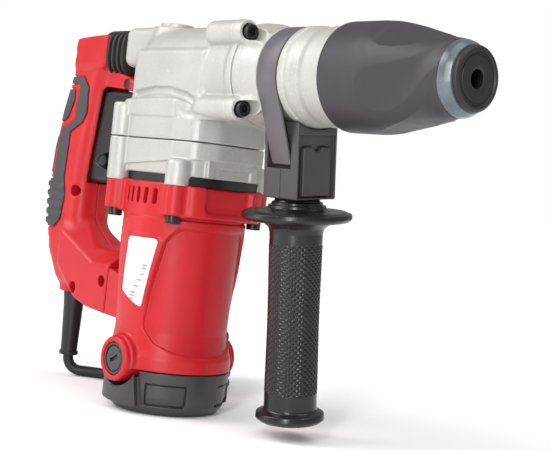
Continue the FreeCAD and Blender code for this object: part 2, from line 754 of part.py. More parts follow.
def build_brush_gear():
    level = (d.motor_x, d.brush_level)
    holders, brushes, springs, caps = [], [], [], []
    for side in (-1, 1):
        def span(near, far):
            return (near, far) if side > 0 else (-far, -near)
        x_outer, x_inner = ((d.motor_x - 5, d.motor_x + 5), (d.motor_x - 3.2, d.motor_x + 3.2))
        z_outer, z_inner = ((d.brush_level - 6, d.brush_level + 6), (d.brush_level - 4.2, d.brush_level + 4.2))
        holders.append(without(box(x_outer, span(16, 41), z_outer), box(x_inner, span(15, 42), z_inner)))
        x_brush = (d.motor_x - 3.1, d.motor_x + 3.1)
        z_brush = (d.brush_level - 4.1, d.brush_level + 4.1)
        brushes.append(box(x_brush, span(13.05, 27), z_brush))
        low, high = span(27.5, 40.8)
        springs.append(spring("y", 2.3, 0.4, 7, low, high, level))
        x_slot, z_slot = (d.motor_x - 6, d.motor_x + 6), (d.brush_level - 1, d.brush_level + 1)
        caps.append(without(cylinder("y", 11, *span(41.3, 47.9), level), box(x_slot, span(46.2, 49), z_slot)))
    node("brush_holders", group(*holders, *springs))
    node("carbon_brushes", group(*brushes))
    node("brush_caps", group(*caps))


def build_controls():
    lid = cylinder("z", 12, 29, 36.5, (-282, 0))
    node("grease_cap", without(lid, *[cylinder("z", 1.5, 35, 38, (-282, 6 * side)) for side in (-1, 1)]))
    node("mode_selector", joined(
        cylinder("y", 9, 24, 38.1, (-236, 4)),
        cylinder("y", 15, 38.1, 42, (-236, 4)),
        box((-249, -223), (42, 48), (0.5, 7.5))))


# ---------------------------------------------------------------- rear handle


def spine_outline():
    """The rear handle from the side: top block, curved back, lower arm and inner edge."""
    return [
        (-366, 28.5), (-391, 24), (-391, 0), (-403, -30), (-410, -62), (-412, -97, 120), (-406, -136, 40),
        (-389, -164), (-370, -168.5), (-329, -176), (d.arm_front, -177.5), (d.arm_front, -133),
        (-330, -128, -30), (-351, -108), (-360, -84), (-346, -12), (-312, -14), (-312, -1.5), (-366, -1.5)]


def arm_outline():
    return [
        (-398, -129), (-394, -150), (-384, -165), (-370, -168.5), (-329, -176), (d.arm_front, -177.5),
        (d.arm_front, -142.5), (-327, -142.5), (-365, -126)]


def handle_cavity():
    return [
        (-368, 24), (-387, 20), (-387, -1), (-399, -32), (-406, -63), (-407.5, -97), (-402, -134),
        (-386, -158), (-330, -171), (-326, -171), (-326, -136), (-354, -111), (-364.5, -84), (-351, -6),
        (-368, -5)]


HANDLE_SCREWS = [(-372, 12), (-322, -7.7), (-367, -91), (-389, -132), (-347, -163)]


def handle_half(side):
    """One clamshell half; side is -1 for the right half and 1 for the left."""

    def span(near, far):
        return (near, far) if side > 0 else (-as_size(far), -as_size(near))

    spine = padded("xz", spine_outline(), *span(0, d.handle_half_width))
    arm = padded("xz", arm_outline(), *span(0, d.arm_half_width))
    inside = padded("xz", handle_cavity(), *span(-1, d.handle_half_width - d.handle_wall))
    trigger_slot = padded(
        "xz", [(-364, -9), (-330, -11), (-330, -84), (-372, -84)], *span(-1, d.trigger_half_width + 0.5))
    tongue_room = box((-322, -300), (-7.6, 7.6), (d.pivot_z - 10, d.pivot_z + 10))
    pin_way = cylinder("y", d.pivot_radius + 0.04, *span(-1, 30), (d.pivot_x, d.pivot_z))
    gland_way = cylinder("z", 9, -185, -150, (d.gland_x, 0))
    pillars = [cylinder("y", 5.5, *span(0, d.handle_half_width - 1), spot) for spot in HANDLE_SCREWS]
    bores = [cylinder("y", 2, *span(-1, 13), spot) for spot in HANDLE_SCREWS]
    bores += [cylinder("y", 4, *span(13, 40), spot) for spot in HANDLE_SCREWS]
    hollow = without(joined(spine, arm), inside, trigger_slot)
    return without(joined(hollow, *pillars), *bores, tongue_room, pin_way, gland_way)


def grip_outline():
    """The soft grip on the handle's side: a zigzag at the top, a neck and a pad low on the back."""
    return [
        (-384, -2), (-370.7, -2.7), (-361.5, -11.9), (-364, -35.3), (-375.6, -43.4), (-382.2, -47),
        (-382.4, -80), (-380.5, -95.8), (-382, -113.8), (-388, -120.7), (-399, -119), (-403, -82),
        (-398, -60), (-391, -45), (-382, -37.5), (-376, -32), (-373.5, -14), (-377, -8.5), (-384, -8.5)]


def build_rear_handle():
    for label, side in (("handle_right_shell", -1), ("handle_left_shell", 1)):
        node(label, handle_half(side))
    face = d.handle_half_width
    node("grip_pads", group(
        padded("xz", grip_outline(), -face - 1.2, -face),
        padded("xz", grip_outline(), face, face + 1.2)))
    screws = []
    for spot in HANDLE_SCREWS:
        shank = cylinder("y", 2, -13, 12, spot)
        head = cylinder("y", 3.6, -15.5, -13, spot)
        screws.append(joined(shank, head))
    node("handle_screws", group(*screws))
    node("pivot_pin", cylinder("y", d.pivot_radius, -21, 21, (d.pivot_x, d.pivot_z)))
    node("switch_body", box((-390, -375), (-8.5, 8.5), (-78, -20)))
    trigger = padded(
        "xz", [(-346, -12.5), (-328, -14.5), (-328, -22), (-333, -50), (-336, -79), (-340, -82.5),
               (-359, -82.5), (-363, -60)], -d.trigger_half_width, d.trigger_half_width)
    rounded(trigger, 3, lambda edge: abs(abs(edge.BoundBox.YMin) - 9) < 0.01 and edge.BoundBox.YLength < 0.01
            and edge.BoundBox.XMax > -340.5 and edge.BoundBox.XMin > -341)
    node("trigger", without(trigger, cylinder("y", 4.05, -12, 12, (-344, -66))))
    node("lock_on_button", cylinder("y", 4, -10.5, 7, (-344, -66)))
    count = 5
    pitch = (d.neck_rear - d.bellows_rear) / count
    rear_to_front = [(d.bellows_rear, 13.5)]
    for number in range(count):
        start = d.bellows_rear + pitch * number
        rear_to_front.append((start + pitch * 0.12, 14.0))
        rear_to_front.append((start + pitch * 0.5, 17.0))
        rear_to_front.append((start + pitch * 0.88, 14.0))
    rear_to_front.append((d.neck_rear, 13.5))
    folds = rear_to_front + [(d.neck_rear, 11.5), (d.bellows_rear, 11.5)]
    node("handle_bellows", turned("x", folds, (0, d.neck_height)))
    node("damper_spring", spring("x", 8.0, 1.2, 5, d.bellows_rear + 1.5, -325, (0, d.neck_height)))
    gland = turned("z", [
        (d.gland_top, 4.1), (d.gland_top, 9), (-168, 9), (-168, 7.6), (-178, 7.4), (d.gland_bottom + 2, 6.2),
        (d.gland_bottom + 2, 7.4), (d.gland_bottom, 7.4), (d.gland_bottom, 4.1)], (d.gland_x, 0))
    node("strain_relief", gland)


# ---------------------------------------------------------------- side handle


def build_side_handle():
    outer = d.strap_inner_radius + d.strap_thickness
    angle = math.radians(d.leg_angle.value)
    far = 200
    edge = (far * math.cos(angle), -far * math.sin(angle))
    below = padded(
        "yz", [(0, 0), (-edge[0], edge[1]), (-far, -far * 1.5), (far, -far * 1.5), edge],
        d.strap_rear - 1, d.strap_front + 1)
    band = without(ring("x", d.strap_inner_radius, outer, d.strap_rear, d.strap_front), below)
    strap_width = d.strap_front - d.strap_rear
    drop = Placement(Vector(0, 0, -d.leg_length.value), Rotation())
    legs, notches = [], []
    for side in (-1, 1):
        radial = Vector(0, side * math.cos(angle), -math.sin(angle))
        turn = Rotation(Vector(1, 0, 0), -side * d.leg_angle.value)
        near = radial * (d.strap_inner_radius.value if side > 0 else outer.value)
        at_leg = Placement(Vector(d.strap_rear.value, near.y, near.z), turn).multiply(drop)
        legs.append(slab(strap_width, d.strap_thickness, d.leg_length, at_leg))
        near = radial * (d.strap_inner_radius.value - 0.5 if side > 0 else outer.value + 5.5)
        at_notch = Placement(Vector(d.strap_rear.value - 0.5, near.y, near.z), turn).multiply(drop)
        notches.append(slab(strap_width + 1, d.strap_thickness + 6, d.leg_length + 5, at_notch))
    node("clamp_strap", swivelled(joined(band, *legs)))

    saddle = cylinder("x", d.saddle_radius, d.block_rear - 1, d.block_front + 1)
    nut_room = box((d.grip_x - 8.1, d.grip_x + 8.1), (-8.1, 8.1), (-66.1, -57.9))
    bolt_way = cylinder("z", 4.05, -90, -50, (d.grip_x, 0))
    middle = d.grip_x + 1.5
    for label, low, high in (("clamp_block_rear", d.block_rear, middle), ("clamp_block_front", middle, d.block_front)):
        half = box((low, high), (-d.block_half_width, d.block_half_width), (d.block_bottom, d.block_top))
        node(label, swivelled(without(half, saddle, *notches, nut_room, bolt_way)))
    nut = without(
        box((d.grip_x - 8, d.grip_x + 8), (-8, 8), (-66, -58)),
        cylinder("z", 4.05, -70, -50, (d.grip_x, 0)))
    node("clamp_nut", swivelled(nut))
    grip = turned("z", [
        (-78.3, 4), (-78.3, 15), (-81, 17.5), (-85.5, 22), (-86, 33), (-88, d.grip_flange_radius),
        (-91, d.grip_flange_radius), (-93, 33), (-95, 22), (-99, d.grip_radius), (-158, 17.0),
        (-212, d.grip_radius), (-217, 19.5), (-219.5, d.grip_lip_radius), (-223.5, d.grip_lip_radius),
        (d.grip_bottom, 19.5), (d.grip_bottom, 0), (-125, 0), (-125, 4)], (d.grip_x, 0))
    node("side_grip", swivelled(grip))
    node("clamp_stud", swivelled(cylinder("z", 4, -125, -57, (d.grip_x, 0))))


# ---------------------------------------------------------------- cord


def feed_route():
    """Points of the cord's centre line from the strain relief, down to the floor and to the coil."""
    lie = SIZES["base_level"] + SIZES["cord_diameter"] / 2
    x, z = SIZES["gland_x"], SIZES["gland_bottom"]
    return [
        Vector(x, 0, z), Vector(x, 0, z - 3.1), Vector(x + 0.85, 0.95, z - 7.0),
        Vector(x + 2.9, 3.2, z - 10.3), Vector(x + 5.6, 6.3, lie), Vector(x + 10.8, 11.7, lie),
        Vector(x + 19.9, 19.0, lie), Vector(x + 31.7, 24.5, lie), Vector(x + 41.6, 27.0, lie)]


def lead_route():
    """Points of the cord's centre line from the coil's last turn, over its top, to the plug."""
    lie = SIZES["base_level"] + SIZES["cord_diameter"] / 2
    steps = [
        (7.6, -43.3, 28), (24.9, -37.0, 31), (37.4, -24.3, 32), (43.7, -9.0, 32.2), (43.3, 8.6, 33),
        (36.9, 21.8, 35), (25.6, 31.3, 37.8), (11.5, 35.2, 40), (-2.0, 35.2, 40.6)]
    return [Vector(*coil_spot(out, along_turn), lie + rise) for out, along_turn, rise in steps]


def coil_spot(out, along_turn):
    """A place over the coil, counted out from its centre to where the lead leaves and along there."""
    leave = math.radians(-10)
    x = SIZES["coil_centre_x"] + out * math.cos(leave) - along_turn * math.sin(leave)
    y = SIZES["coil_centre_y"] + out * math.sin(leave) + along_turn * math.cos(leave)
    return x, y


def smooth_wire(route):
    """Straight runs joined by tangent arcs, each as large as its two runs allow; returns the wire
    and the arcs' radii."""
    edges, radii = [], []
    last = route[0]
    for before, corner, after in zip(route, route[1:], route[2:]):
        back, ahead = (before - corner), (after - corner)
        turn = math.pi - back.getAngle(ahead)
        shorter = min(back.Length, ahead.Length)
        reach = 0.45 * shorter
        radius = reach / math.tan(turn / 2)
        start = corner + back.normalize() * reach
        end = corner + ahead.normalize() * reach
        inward = (back + ahead).normalize()
        middle = corner + inward * (radius / math.cos(turn / 2) - radius)
        edges.append(Part.LineSegment(last, start).toShape())
        edges.append(Part.Arc(start, middle, end).toShape())
        radii.append(radius)
        last = end
    edges.append(Part.LineSegment(last, route[-1]).toShape())
    return Part.Wire(edges), radii


def cord_stretch(name, route):
    radius = SIZES["cord_diameter"] / 2
    wire, radii = smooth_wire(route)
    section = Part.Wire(Part.makeCircle(radius, route[0], route[1] - route[0]))
    tube = doc.addObject("Part::Feature", "stretch")
    tube.Shape = wire.makePipeShell([section], True, True)
    print(name, "length", round(wire.Length, 1), "radii", [round(value, 1) for value in radii])
    print(name, "volume", round(tube.Shape.Volume), "of", round(math.pi * radius ** 2 * wire.Length))
    return tube


def build_cord():
    node("cord_tube", group(cord_stretch("feed", feed_route()), cord_stretch("lead", lead_route())))
    centre = (d.coil_centre_x, d.coil_centre_y)
    middle = d.coil_diameter / 2
    low, high = d.base_level, d.base_level + d.coil_height
    node("cord_coil", ring("z", middle - d.coil_width / 2, middle + d.coil_width / 2, low, high, centre))


def build_plug():
    """A two-pin plug that lies on top of the coil, in line with the end of the lead."""
    before, last = lead_route()[-2:]
    heading = math.degrees(math.atan2(last.y - before.y, last.x - before.x))
    body = joined(
        cone("x", 6.5, 12.5, 0, 12),
        cylinder("x", 12.5, 12, 34),
        cylinder("x", 17.5, 34, 40, (0, 5.2)))
    pins = group(*[cylinder("x", 2.4, 40, 59, (9.5 * side, 5.2)) for side in (-1, 1)])
    for label, item in (("plug_body", body), ("plug_pins", pins)):
        item.Placement = Placement(last, Rotation(Vector(0, 0, 1), heading))
        node(label, item)


centre_distance = d.gear_module * (d.pinion_teeth + d.wheel_teeth) / 2
d.crank_x = d.motor_x - centre_distance
d.bevel_x = d.motor_x + centre_distance

build_tool_holder()
build_piston()
build_gear_train()
build_bearings()
build_gear_housing()
build_lower_gear_case()
build_barrel_collar()
build_screws()
build_motor_housing()
build_end_cap()
build_motor_inside()
build_brush_gear()
build_controls()
build_rear_handle()
build_side_handle()
build_cord()
build_plug()
doc.recompute()

for item in doc.Objects:
    if "Invalid" in item.State or "Error" in item.State:
        raise ValueError("%s (%s) did not rebuild: %s" % (item.Name, item.Label, item.State))
for label, item in NODES.items():
    shape = item.Shape
    if shape.isNull() or not shape.isValid() or not shape.Solids:
        raise ValueError(label + " is not a sound solid")
for label, item in NODES.items():
    item.Shape.exportStep("parts/%s.step" % label)
print(len(NODES), "nodes")
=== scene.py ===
import json
import math

import bmesh
import bpy
import numpy as np
import openvdb
from mathutils import Matrix, Vector


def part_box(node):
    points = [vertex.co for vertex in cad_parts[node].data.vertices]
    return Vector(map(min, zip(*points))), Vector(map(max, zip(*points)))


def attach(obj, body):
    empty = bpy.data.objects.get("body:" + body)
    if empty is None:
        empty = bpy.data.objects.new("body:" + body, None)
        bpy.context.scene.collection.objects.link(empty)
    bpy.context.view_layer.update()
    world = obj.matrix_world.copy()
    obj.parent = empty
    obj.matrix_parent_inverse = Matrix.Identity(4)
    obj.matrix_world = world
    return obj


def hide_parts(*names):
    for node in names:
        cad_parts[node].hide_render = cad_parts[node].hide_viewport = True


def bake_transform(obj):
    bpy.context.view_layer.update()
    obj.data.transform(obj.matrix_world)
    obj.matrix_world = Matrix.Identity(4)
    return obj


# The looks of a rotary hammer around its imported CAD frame. Lengths are in millimetres in the tool's
# own frame (X forward along the spindle, Y left, Z up, origin at the mouth of the tool bore) until
# a mesh is made, which is in metres. Shapes with soft edges are built as distance fields: negative
# inside, positive outside, combined with smooth unions and cuts, then turned into a mesh.

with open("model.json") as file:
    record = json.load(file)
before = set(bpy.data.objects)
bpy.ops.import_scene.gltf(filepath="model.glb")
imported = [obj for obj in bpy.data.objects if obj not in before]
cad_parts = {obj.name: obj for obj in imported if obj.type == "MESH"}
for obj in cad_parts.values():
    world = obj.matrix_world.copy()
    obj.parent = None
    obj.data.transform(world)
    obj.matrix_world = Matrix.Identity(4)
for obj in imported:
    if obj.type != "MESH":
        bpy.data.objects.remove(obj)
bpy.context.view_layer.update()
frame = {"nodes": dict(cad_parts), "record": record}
MM = 0.001
COARSE = 1.0
# The side handle's angle about the spindle in degrees, and the place of its grip along the tool.
SWIVEL, GRIP_X = 5.8, -145.0


# ---------------------------------------------------------------- distance fields


def union(first, second, soft=0.0):
    if soft <= 0:
        return np.minimum(first, second)
    near = np.maximum(soft - np.abs(first - second), 0) / soft
    return np.minimum(first, second) - near * near * soft / 4


def meet(first, second, soft=0.0):
    return -union(-first, -second, soft)


def cut(first, second, soft=0.0):
    return meet(first, -second, soft)


def corner_arc(before, corner, after, radius):
    """The points of the arc that rounds one corner of an outline."""
    before, corner, after = (np.array(point[:2], float) for point in (before, corner, after))
    back, ahead = before - corner, after - corner
    back_length, ahead_length = np.linalg.norm(back), np.linalg.norm(ahead)
    back, ahead = back / back_length, ahead / ahead_length
    half_turn = math.acos(max(-1.0, min(1.0, float(back @ ahead)))) / 2
    reach = min(radius / math.tan(half_turn), 0.49 * back_length, 0.49 * ahead_length)
    start, end = corner + back * reach, corner + ahead * reach
    steps = max(3, int(math.degrees(math.pi - 2 * half_turn) / 11))
    points = []
    for step in range(steps + 1):
        t = step / steps
        points.append(tuple((1 - t) ** 2 * start + 2 * t * (1 - t) * corner + t * t * end))
    return points


def outline(corners):
    """A closed outline. A corner's third value is the radius that rounds it."""
    points = []
    for index, corner in enumerate(corners):
        if len(corner) == 2:
            points.append(corner)
        else:
            after = corners[(index + 1) % len(corners)]
            points += corner_arc(corners[index - 1], corner, after, corner[2])
    return points


def polygon(u, v, corners):
    """Distance to a closed outline in the plane of u and v."""
    points = outline(corners)
    nearest, inside = None, None
    for (u0, v0), (u1, v1) in zip(points, points[1:] + points[:1]):
        du, dv = u1 - u0, v1 - v0
        if du * du + dv * dv < 1e-12:
            continue
        wu, wv = u - u0, v - v0
        t = np.clip((wu * du + wv * dv) / (du * du + dv * dv), 0, 1)
        square = (wu - du * t) ** 2 + (wv - dv * t) ** 2
        crosses = ((v >= v0) != (v >= v1)) & ((du * wv - dv * wu > 0) == (v1 > v0))
        nearest = square if nearest is None else np.minimum(nearest, square)
        inside = crosses if inside is None else inside ^ crosses
    distance = np.sqrt(nearest)
    return np.where(inside, -distance, distance).astype(np.float32)


def mirrored(half):
    """A plan that is the same on both sides, from the corners of its right half."""
    return half + [(x, -y, *rounding) for x, y, *rounding in reversed(half)]


class Space:
    """A box of evenly spaced sample points in which one piece's distance field is worked out."""

    def __init__(self, low, high, step):
        self.step = step * COARSE
        self.low = np.array(low, float) - 2.5 * self.step
        counts = np.ceil((np.array(high, float) - self.low) / self.step).astype(int) + 4
        axes = [
            (self.low[i] + self.step * np.arange(counts[i])).astype(np.float32).reshape(
                [-1 if i == j else 1 for j in range(3)]) for i in range(3)]
        self.x, self.y, self.z = axes
        self.shape = tuple(counts)

    def others(self, axis):
        return {"x": (self.y, self.z), "y": (self.x, self.z), "z": (self.x, self.y)}[axis]

    def cylinder(self, axis, radius, start, end, centre=(0, 0), soft=0.0):
        u, v = self.others(axis)
        along = getattr(self, axis)
        side = np.hypot(u - centre[0], v - centre[1]) - radius
        caps = np.abs(along - (start + end) / 2) - abs(end - start) / 2
        return meet(side, caps, soft)

    def block(self, x_range, y_range, z_range, soft=0.0):
        gaps = []
        for axis, (low, high) in zip((self.x, self.y, self.z), (x_range, y_range, z_range)):
            gaps.append(np.abs(axis - (low + high) / 2) - (high - low) / 2 + soft)
        outside = np.sqrt(sum(np.maximum(gap, 0) ** 2 for gap in gaps))
        return outside + np.minimum(np.maximum(np.maximum(gaps[0], gaps[1]), gaps[2]), 0) - soft

    def prism(self, plane, corners, start, end, soft=0.0):
        axis = ({"x", "y", "z"} - set(plane)).pop()
        flat = polygon(getattr(self, plane[0]), getattr(self, plane[1]), corners)
        along = getattr(self, axis)
        return meet(flat, np.abs(along - (start + end) / 2) - abs(end - start) / 2, soft)

    def lathe(self, axis, profile, centre=(0, 0)):
        """A turned shape: the profile's corners are (along the axis, radius[, rounding])."""
        u, v = self.others(axis)
        along = getattr(self, axis).ravel()
        radius = np.hypot(u - centre[0], v - centre[1])
        flat = radius.reshape([n for n, name in zip(radius.shape, "xyz") if name != axis])
        rows = np.arange(0, flat.max() + 3 * self.step, self.step, dtype=np.float32)
        table = polygon(along[:, None], rows[None, :], profile)
        place = flat / self.step
        first = place.astype(int)
        share = place - first
        field = table[:, first] * (1 - share) + table[:, first + 1] * share
        return np.moveaxis(field, 0, "xyz".index(axis)).astype(np.float32)

    def capsule(self, start, end, radius):
        line = [b - a for a, b in zip(start, end)]
        away = [axis - a for axis, a in zip((self.x, self.y, self.z), start)]
        t = np.clip(sum(w * e for w, e in zip(away, line)) / sum(e * e for e in line), 0, 1)
        return np.sqrt(sum((w - e * t) ** 2 for w, e in zip(away, line))) - radius

    def plane(self, point, normal):
        """Negative behind the plane, on the side that its normal points away from."""
        size = math.sqrt(sum(n * n for n in normal))
        return sum(
            (axis - p) * n / size for axis, p, n in zip((self.x, self.y, self.z), point, normal))

    def mesh(self, name, field):
        band = 3 * self.step
        values = np.ascontiguousarray(
            np.clip(np.broadcast_to(field, self.shape), -band, band).astype(np.float32))
        grid = openvdb.FloatGrid(band)
        grid.copyFromArray(values, tolerance=0.0)
        points, _, quads = grid.convertToPolygons(isovalue=0.0, adaptivity=0.0)
        points = (points * self.step + self.low) * MM
        return piece(name, points, quads[:, ::-1])


# ---------------------------------------------------------------- meshes


def show(thing):
    bpy.context.scene.collection.objects.link(thing)
    return thing


def piece(name, points, faces):
    points = np.asarray(points, np.float32)
    faces = np.asarray(faces, np.int32)
    a, b, c = (points[faces[:, i]].astype(float) for i in range(3))
    if np.sum(np.cross(b - a, c - a) * (a - points.mean(0))) < 0:
        faces = faces[:, ::-1]
    corners = faces.shape[1]
    mesh = bpy.data.meshes.new(name)
    mesh.vertices.add(len(points))
    mesh.vertices.foreach_set("co", points.ravel())
    mesh.loops.add(faces.size)
    mesh.loops.foreach_set("vertex_index", faces.ravel())
    mesh.polygons.add(len(faces))
    mesh.polygons.foreach_set("loop_start", np.arange(0, faces.size, corners, dtype=np.int32))
    mesh.update(calc_edges=True)
    mesh.validate()
    mesh.shade_smooth()
    return show(bpy.data.objects.new(name, mesh))


def grid_faces(rows, columns):
    """Quads of a grid of points whose rows and columns both join up into rings."""
    first = np.arange(rows)[:, None]
    after = (first + 1) % rows
    column = np.arange(columns)[None, :]
    beside = (column + 1) % columns
    quads = [
        first * columns + column, first * columns + beside, after * columns + beside,
        after * columns + column]
    return np.stack([np.broadcast_to(q, (len(first), columns)) for q in quads], -1).reshape(-1, 4)


def turned(name, axis, profile, centre=(0, 0), around=144, shift=None):
    """A turned piece with a closed profile. shift(along, radius, angle) gives the radius change."""
    points = np.array(outline(profile), float)
    angles = np.linspace(0, 2 * math.pi, around, endpoint=False)
    along = np.repeat(points[:, 0][:, None], around, 1)
    radius = np.repeat(points[:, 1][:, None], around, 1)
    angle = np.repeat(angles[None, :], len(points), 0)
    if shift is not None:
        radius = radius + shift(along, radius, angle)
    u, v = centre[0] + radius * np.cos(angle), centre[1] + radius * np.sin(angle)
    order = {"x": (along, u, v), "y": (u, along, v), "z": (u, v, along)}[axis]
    cloud = np.stack([part.ravel() for part in order], 1) * MM
    thing = piece(name, cloud, grid_faces(len(points), around))
    thing.data.set_sharp_from_angle(angle=math.radians(50))
    return thing


def bevelled(name, node, width, segments=3, angle=30):
    """A new piece with a CAD node's shape and softened edges."""
    mesh = frame["nodes"][node].data.copy()
    mesh.name = name
    mesh.materials.clear()
    thing = show(bpy.data.objects.new(name, mesh))
    weld = thing.modifiers.new("weld", "WELD")
    weld.merge_threshold = 0.00001
    flats = thing.modifiers.new("flats", "DECIMATE")
    flats.decimate_type = "DISSOLVE"
    flats.angle_limit = math.radians(1)
    bevel = thing.modifiers.new("bevel", "BEVEL")
    bevel.width = width * MM
    bevel.segments = segments
    bevel.angle_limit = math.radians(angle)
    apply_modifiers(thing)
    thing.data.shade_smooth()
    thing.data.set_sharp_from_angle(angle=math.radians(angle))
    return thing


def apply_modifiers(thing):
    bpy.context.view_layer.update()
    graph = bpy.context.evaluated_depsgraph_get()
    final = bpy.data.meshes.new_from_object(thing.evaluated_get(graph))
    thing.modifiers.clear()
    thing.data = final


def swivelled(thing):
    """Turns a side handle piece from its own upright frame to its angle about the spindle."""
    thing.data.transform(Matrix.Rotation(math.radians(SWIVEL), 4, "X"))
    return thing


def second_finish(thing, material, chosen):
    """Gives a second material to the faces whose middles are chosen."""
    mesh = thing.data
    middles = np.empty(len(mesh.polygons) * 3, np.float32)
    mesh.polygons.foreach_get("center", middles)
    mesh.materials.append(material)
    index = len(mesh.materials) - 1
    second = chosen(middles.reshape(-1, 3))
    mesh.polygons.foreach_set("material_index", np.where(second, index, 0).astype(np.int32))


def dress(thing, finish, body, slot, *replaced):
    """Gives a piece its finish and its body, and hides the CAD nodes it replaces. The material slot is not
    used.
    """
    thing.data.materials.clear()
    thing.data.materials.append(finish)
    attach(thing, body)
    if replaced:
        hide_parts(*replaced)


# ---------------------------------------------------------------- materials


GLOSS_SPREAD = 0.04


def finish(name, colour, roughness, metallic=0.0, tint=0.05, patch=0.03, grain=0.0006, height=0.02,
           wear=0.0, coat=0.0, specular=0.5, speckle=0.0):
    """A moulded or cast surface: two scales of colour variation, fine grain and uneven gloss.

    patch and grain are feature sizes in metres, height is the grain's depth in millimetres, wear
    lightens the edges and speckle adds fine bright and dark points."""
    material = bpy.data.materials.new(name)
    material.use_nodes = True
    tree = material.node_tree
    shader = tree.nodes["Principled BSDF"]
    add, link = tree.nodes.new, tree.links.new
    where = add("ShaderNodeTexCoord").outputs["Object"]

    def noise(size, detail, seed):
        node = add("ShaderNodeTexNoise")
        node.noise_dimensions = "4D"
        for socket, value in (("W", seed), ("Scale", 1 / size), ("Detail", detail)):
            node.inputs[socket].default_value = value
        link(where, node.inputs["Vector"])
        return node.outputs["Fac"]

    def spreads(value, low, high, bottom, top):
        node = add("ShaderNodeMapRange")
        for socket, end in (("From Min", low), ("From Max", high), ("To Min", bottom), ("To Max", top)):
            node.inputs[socket].default_value = end
        link(value, node.inputs["Value"])
        return node.outputs["Result"]

    def mix(share, first, second):
        node = add("ShaderNodeMix")
        node.data_type = "RGBA"
        link(share, node.inputs["Factor"])
        for socket, value in ((node.inputs["A"], first), (node.inputs["B"], second)):
            if isinstance(value, tuple):
                socket.default_value = (*value, 1)
            else:
                link(value, socket)
        return node.outputs["Result"]

    dark = tuple(c * (1 - tint) for c in colour)
    light = tuple(min(1.0, c * (1 + tint) + 0.02 * tint) for c in colour)
    shade = mix(spreads(noise(patch, 4, 1.0), 0.3, 0.7, 0, 1), dark, light)
    if speckle:
        points = noise(grain * 1.6, 2, 9.0)
        bright, dull = tuple(min(1, c * 1.9 + 0.05) for c in colour), tuple(c * 0.4 for c in colour)
        shade = mix(spreads(points, 0.62, 0.75, 0, speckle), shade, bright)
        shade = mix(spreads(points, 0.38, 0.27, 0, speckle), shade, dull)
    if wear:
        edges = spreads(add("ShaderNodeNewGeometry").outputs["Pointiness"], 0.515, 0.57, 0, wear)
        shade = mix(edges, shade, tuple(min(1, c * 1.5 + 0.06) for c in colour))
    link(shade, shader.inputs["Base Color"])
    rough = spreads(
        noise(patch * 0.4, 5, 3.0), 0.3, 0.7, roughness - GLOSS_SPREAD, roughness + GLOSS_SPREAD)
    link(rough, shader.inputs["Roughness"])
    shader.inputs["Metallic"].default_value = metallic
    shader.inputs["Specular IOR Level"].default_value = specular
    if coat:
        shader.inputs["Coat Weight"].default_value = coat
        shader.inputs["Coat Roughness"].default_value = 0.25
    bump = add("ShaderNodeBump")
    bump.inputs["Strength"].default_value = 1
    bump.inputs["Distance"].default_value = height * MM
    link(noise(grain, 3, 5.0), bump.inputs["Height"])
    link(bump.outputs["Normal"], shader.inputs["Normal"])
    return material


RED = finish("red_nylon", (0.45, 0.008, 0.013), 0.4, grain=0.0007, height=0.03, specular=0.35)
# Painted shade: a much darker copy of the red nylon for the insides of the handle's screw wells and pivot
# hole.
RED_PAINTED_SHADE = finish("red_nylon_in_shade", (0.06, 0.002, 0.003), 0.6)
RED_TEXTURED = finish(
    "red_nylon_textured", (0.44, 0.008, 0.014), 0.42, grain=0.0009, height=0.07, speckle=0.06, specular=0.3)
CAST = finish(
    "cast_aluminium", (0.42, 0.412, 0.39), 0.46, metallic=0.35, tint=0.08, grain=0.0010, height=0.12,
    speckle=0.3, wear=0.3)
CHARCOAL = finish(
    "charcoal_plastic", (0.040, 0.037, 0.039), 0.38, grain=0.0009, height=0.04, speckle=0.1, specular=0.4)
BLACK = finish("black_plastic", (0.011, 0.011, 0.012), 0.36, grain=0.0008, height=0.03, specular=0.4)
GRIP_BLACK = finish("grip_black", (0.008, 0.007, 0.008), 0.27, grain=0.0008, height=0.02, specular=0.45)
OVERMOULD = finish("grey_overmould", (0.045, 0.042, 0.046), 0.6, grain=0.0006, height=0.05, specular=0.4)
SLEEVE = finish(
    "sleeve_plastic", (0.030, 0.027, 0.031), 0.46, grain=0.0008, height=0.05, speckle=0.08, specular=0.4)
RING = finish(
    "ring_plastic", (0.085, 0.105, 0.12), 0.25, grain=0.004, height=0.02, tint=0.35, patch=0.02, coat=0.3)
RUBBER = finish("black_rubber", (0.011, 0.010, 0.009), 0.42, grain=0.0009, height=0.04, specular=0.4)
STEEL = finish("tool_steel", (0.42, 0.41, 0.4), 0.32, metallic=1.0, grain=0.0007, height=0.015)
STRAP = finish(
    "strap_steel", (0.10, 0.09, 0.10), 0.45, metallic=0.4, grain=0.0012, height=0.03, tint=0.14, wear=0.35,
    specular=0.4)
SCREW = finish(
    "black_screws", (0.014, 0.013, 0.012), 0.3, metallic=0.6, grain=0.0007, height=0.02, wear=0.5)
# Steel of the handle screws, made very dark as painted shade for the deep wells they sit in.
SCREW_STEEL_PAINTED_SHADE = finish("bright_screws", (0.07, 0.07, 0.07), 0.35, metallic=1.0, grain=0.0007, height=0.01)
COPPER = finish("winding_copper", (0.55, 0.27, 0.12), 0.35, metallic=0.9, grain=0.0006, height=0.1)
BRASS = finish("brush_brass", (0.6, 0.48, 0.2), 0.3, metallic=1.0, grain=0.0006, height=0.02)
LAMINATION = finish("lamination_steel", (0.2, 0.2, 0.21), 0.5, metallic=0.8, grain=0.0005, height=0.1)
CARBON = finish("brush_carbon", (0.03, 0.03, 0.03), 0.6, grain=0.0006, height=0.05)
LABEL = finish("label_paper", (0.62, 0.61, 0.60), 0.35, tint=0.02, grain=0.002, height=0.004)
INK = finish("label_ink", (0.28, 0.26, 0.25), 0.5)
CORD = finish("cord_rubber", (0.012, 0.012, 0.013), 0.5, grain=0.0012, height=0.03, specular=0.4)
BLOCK = finish(
    "clamp_plastic", (0.045, 0.038, 0.043), 0.4, grain=0.001, height=0.04, wear=0.3, specular=0.4)

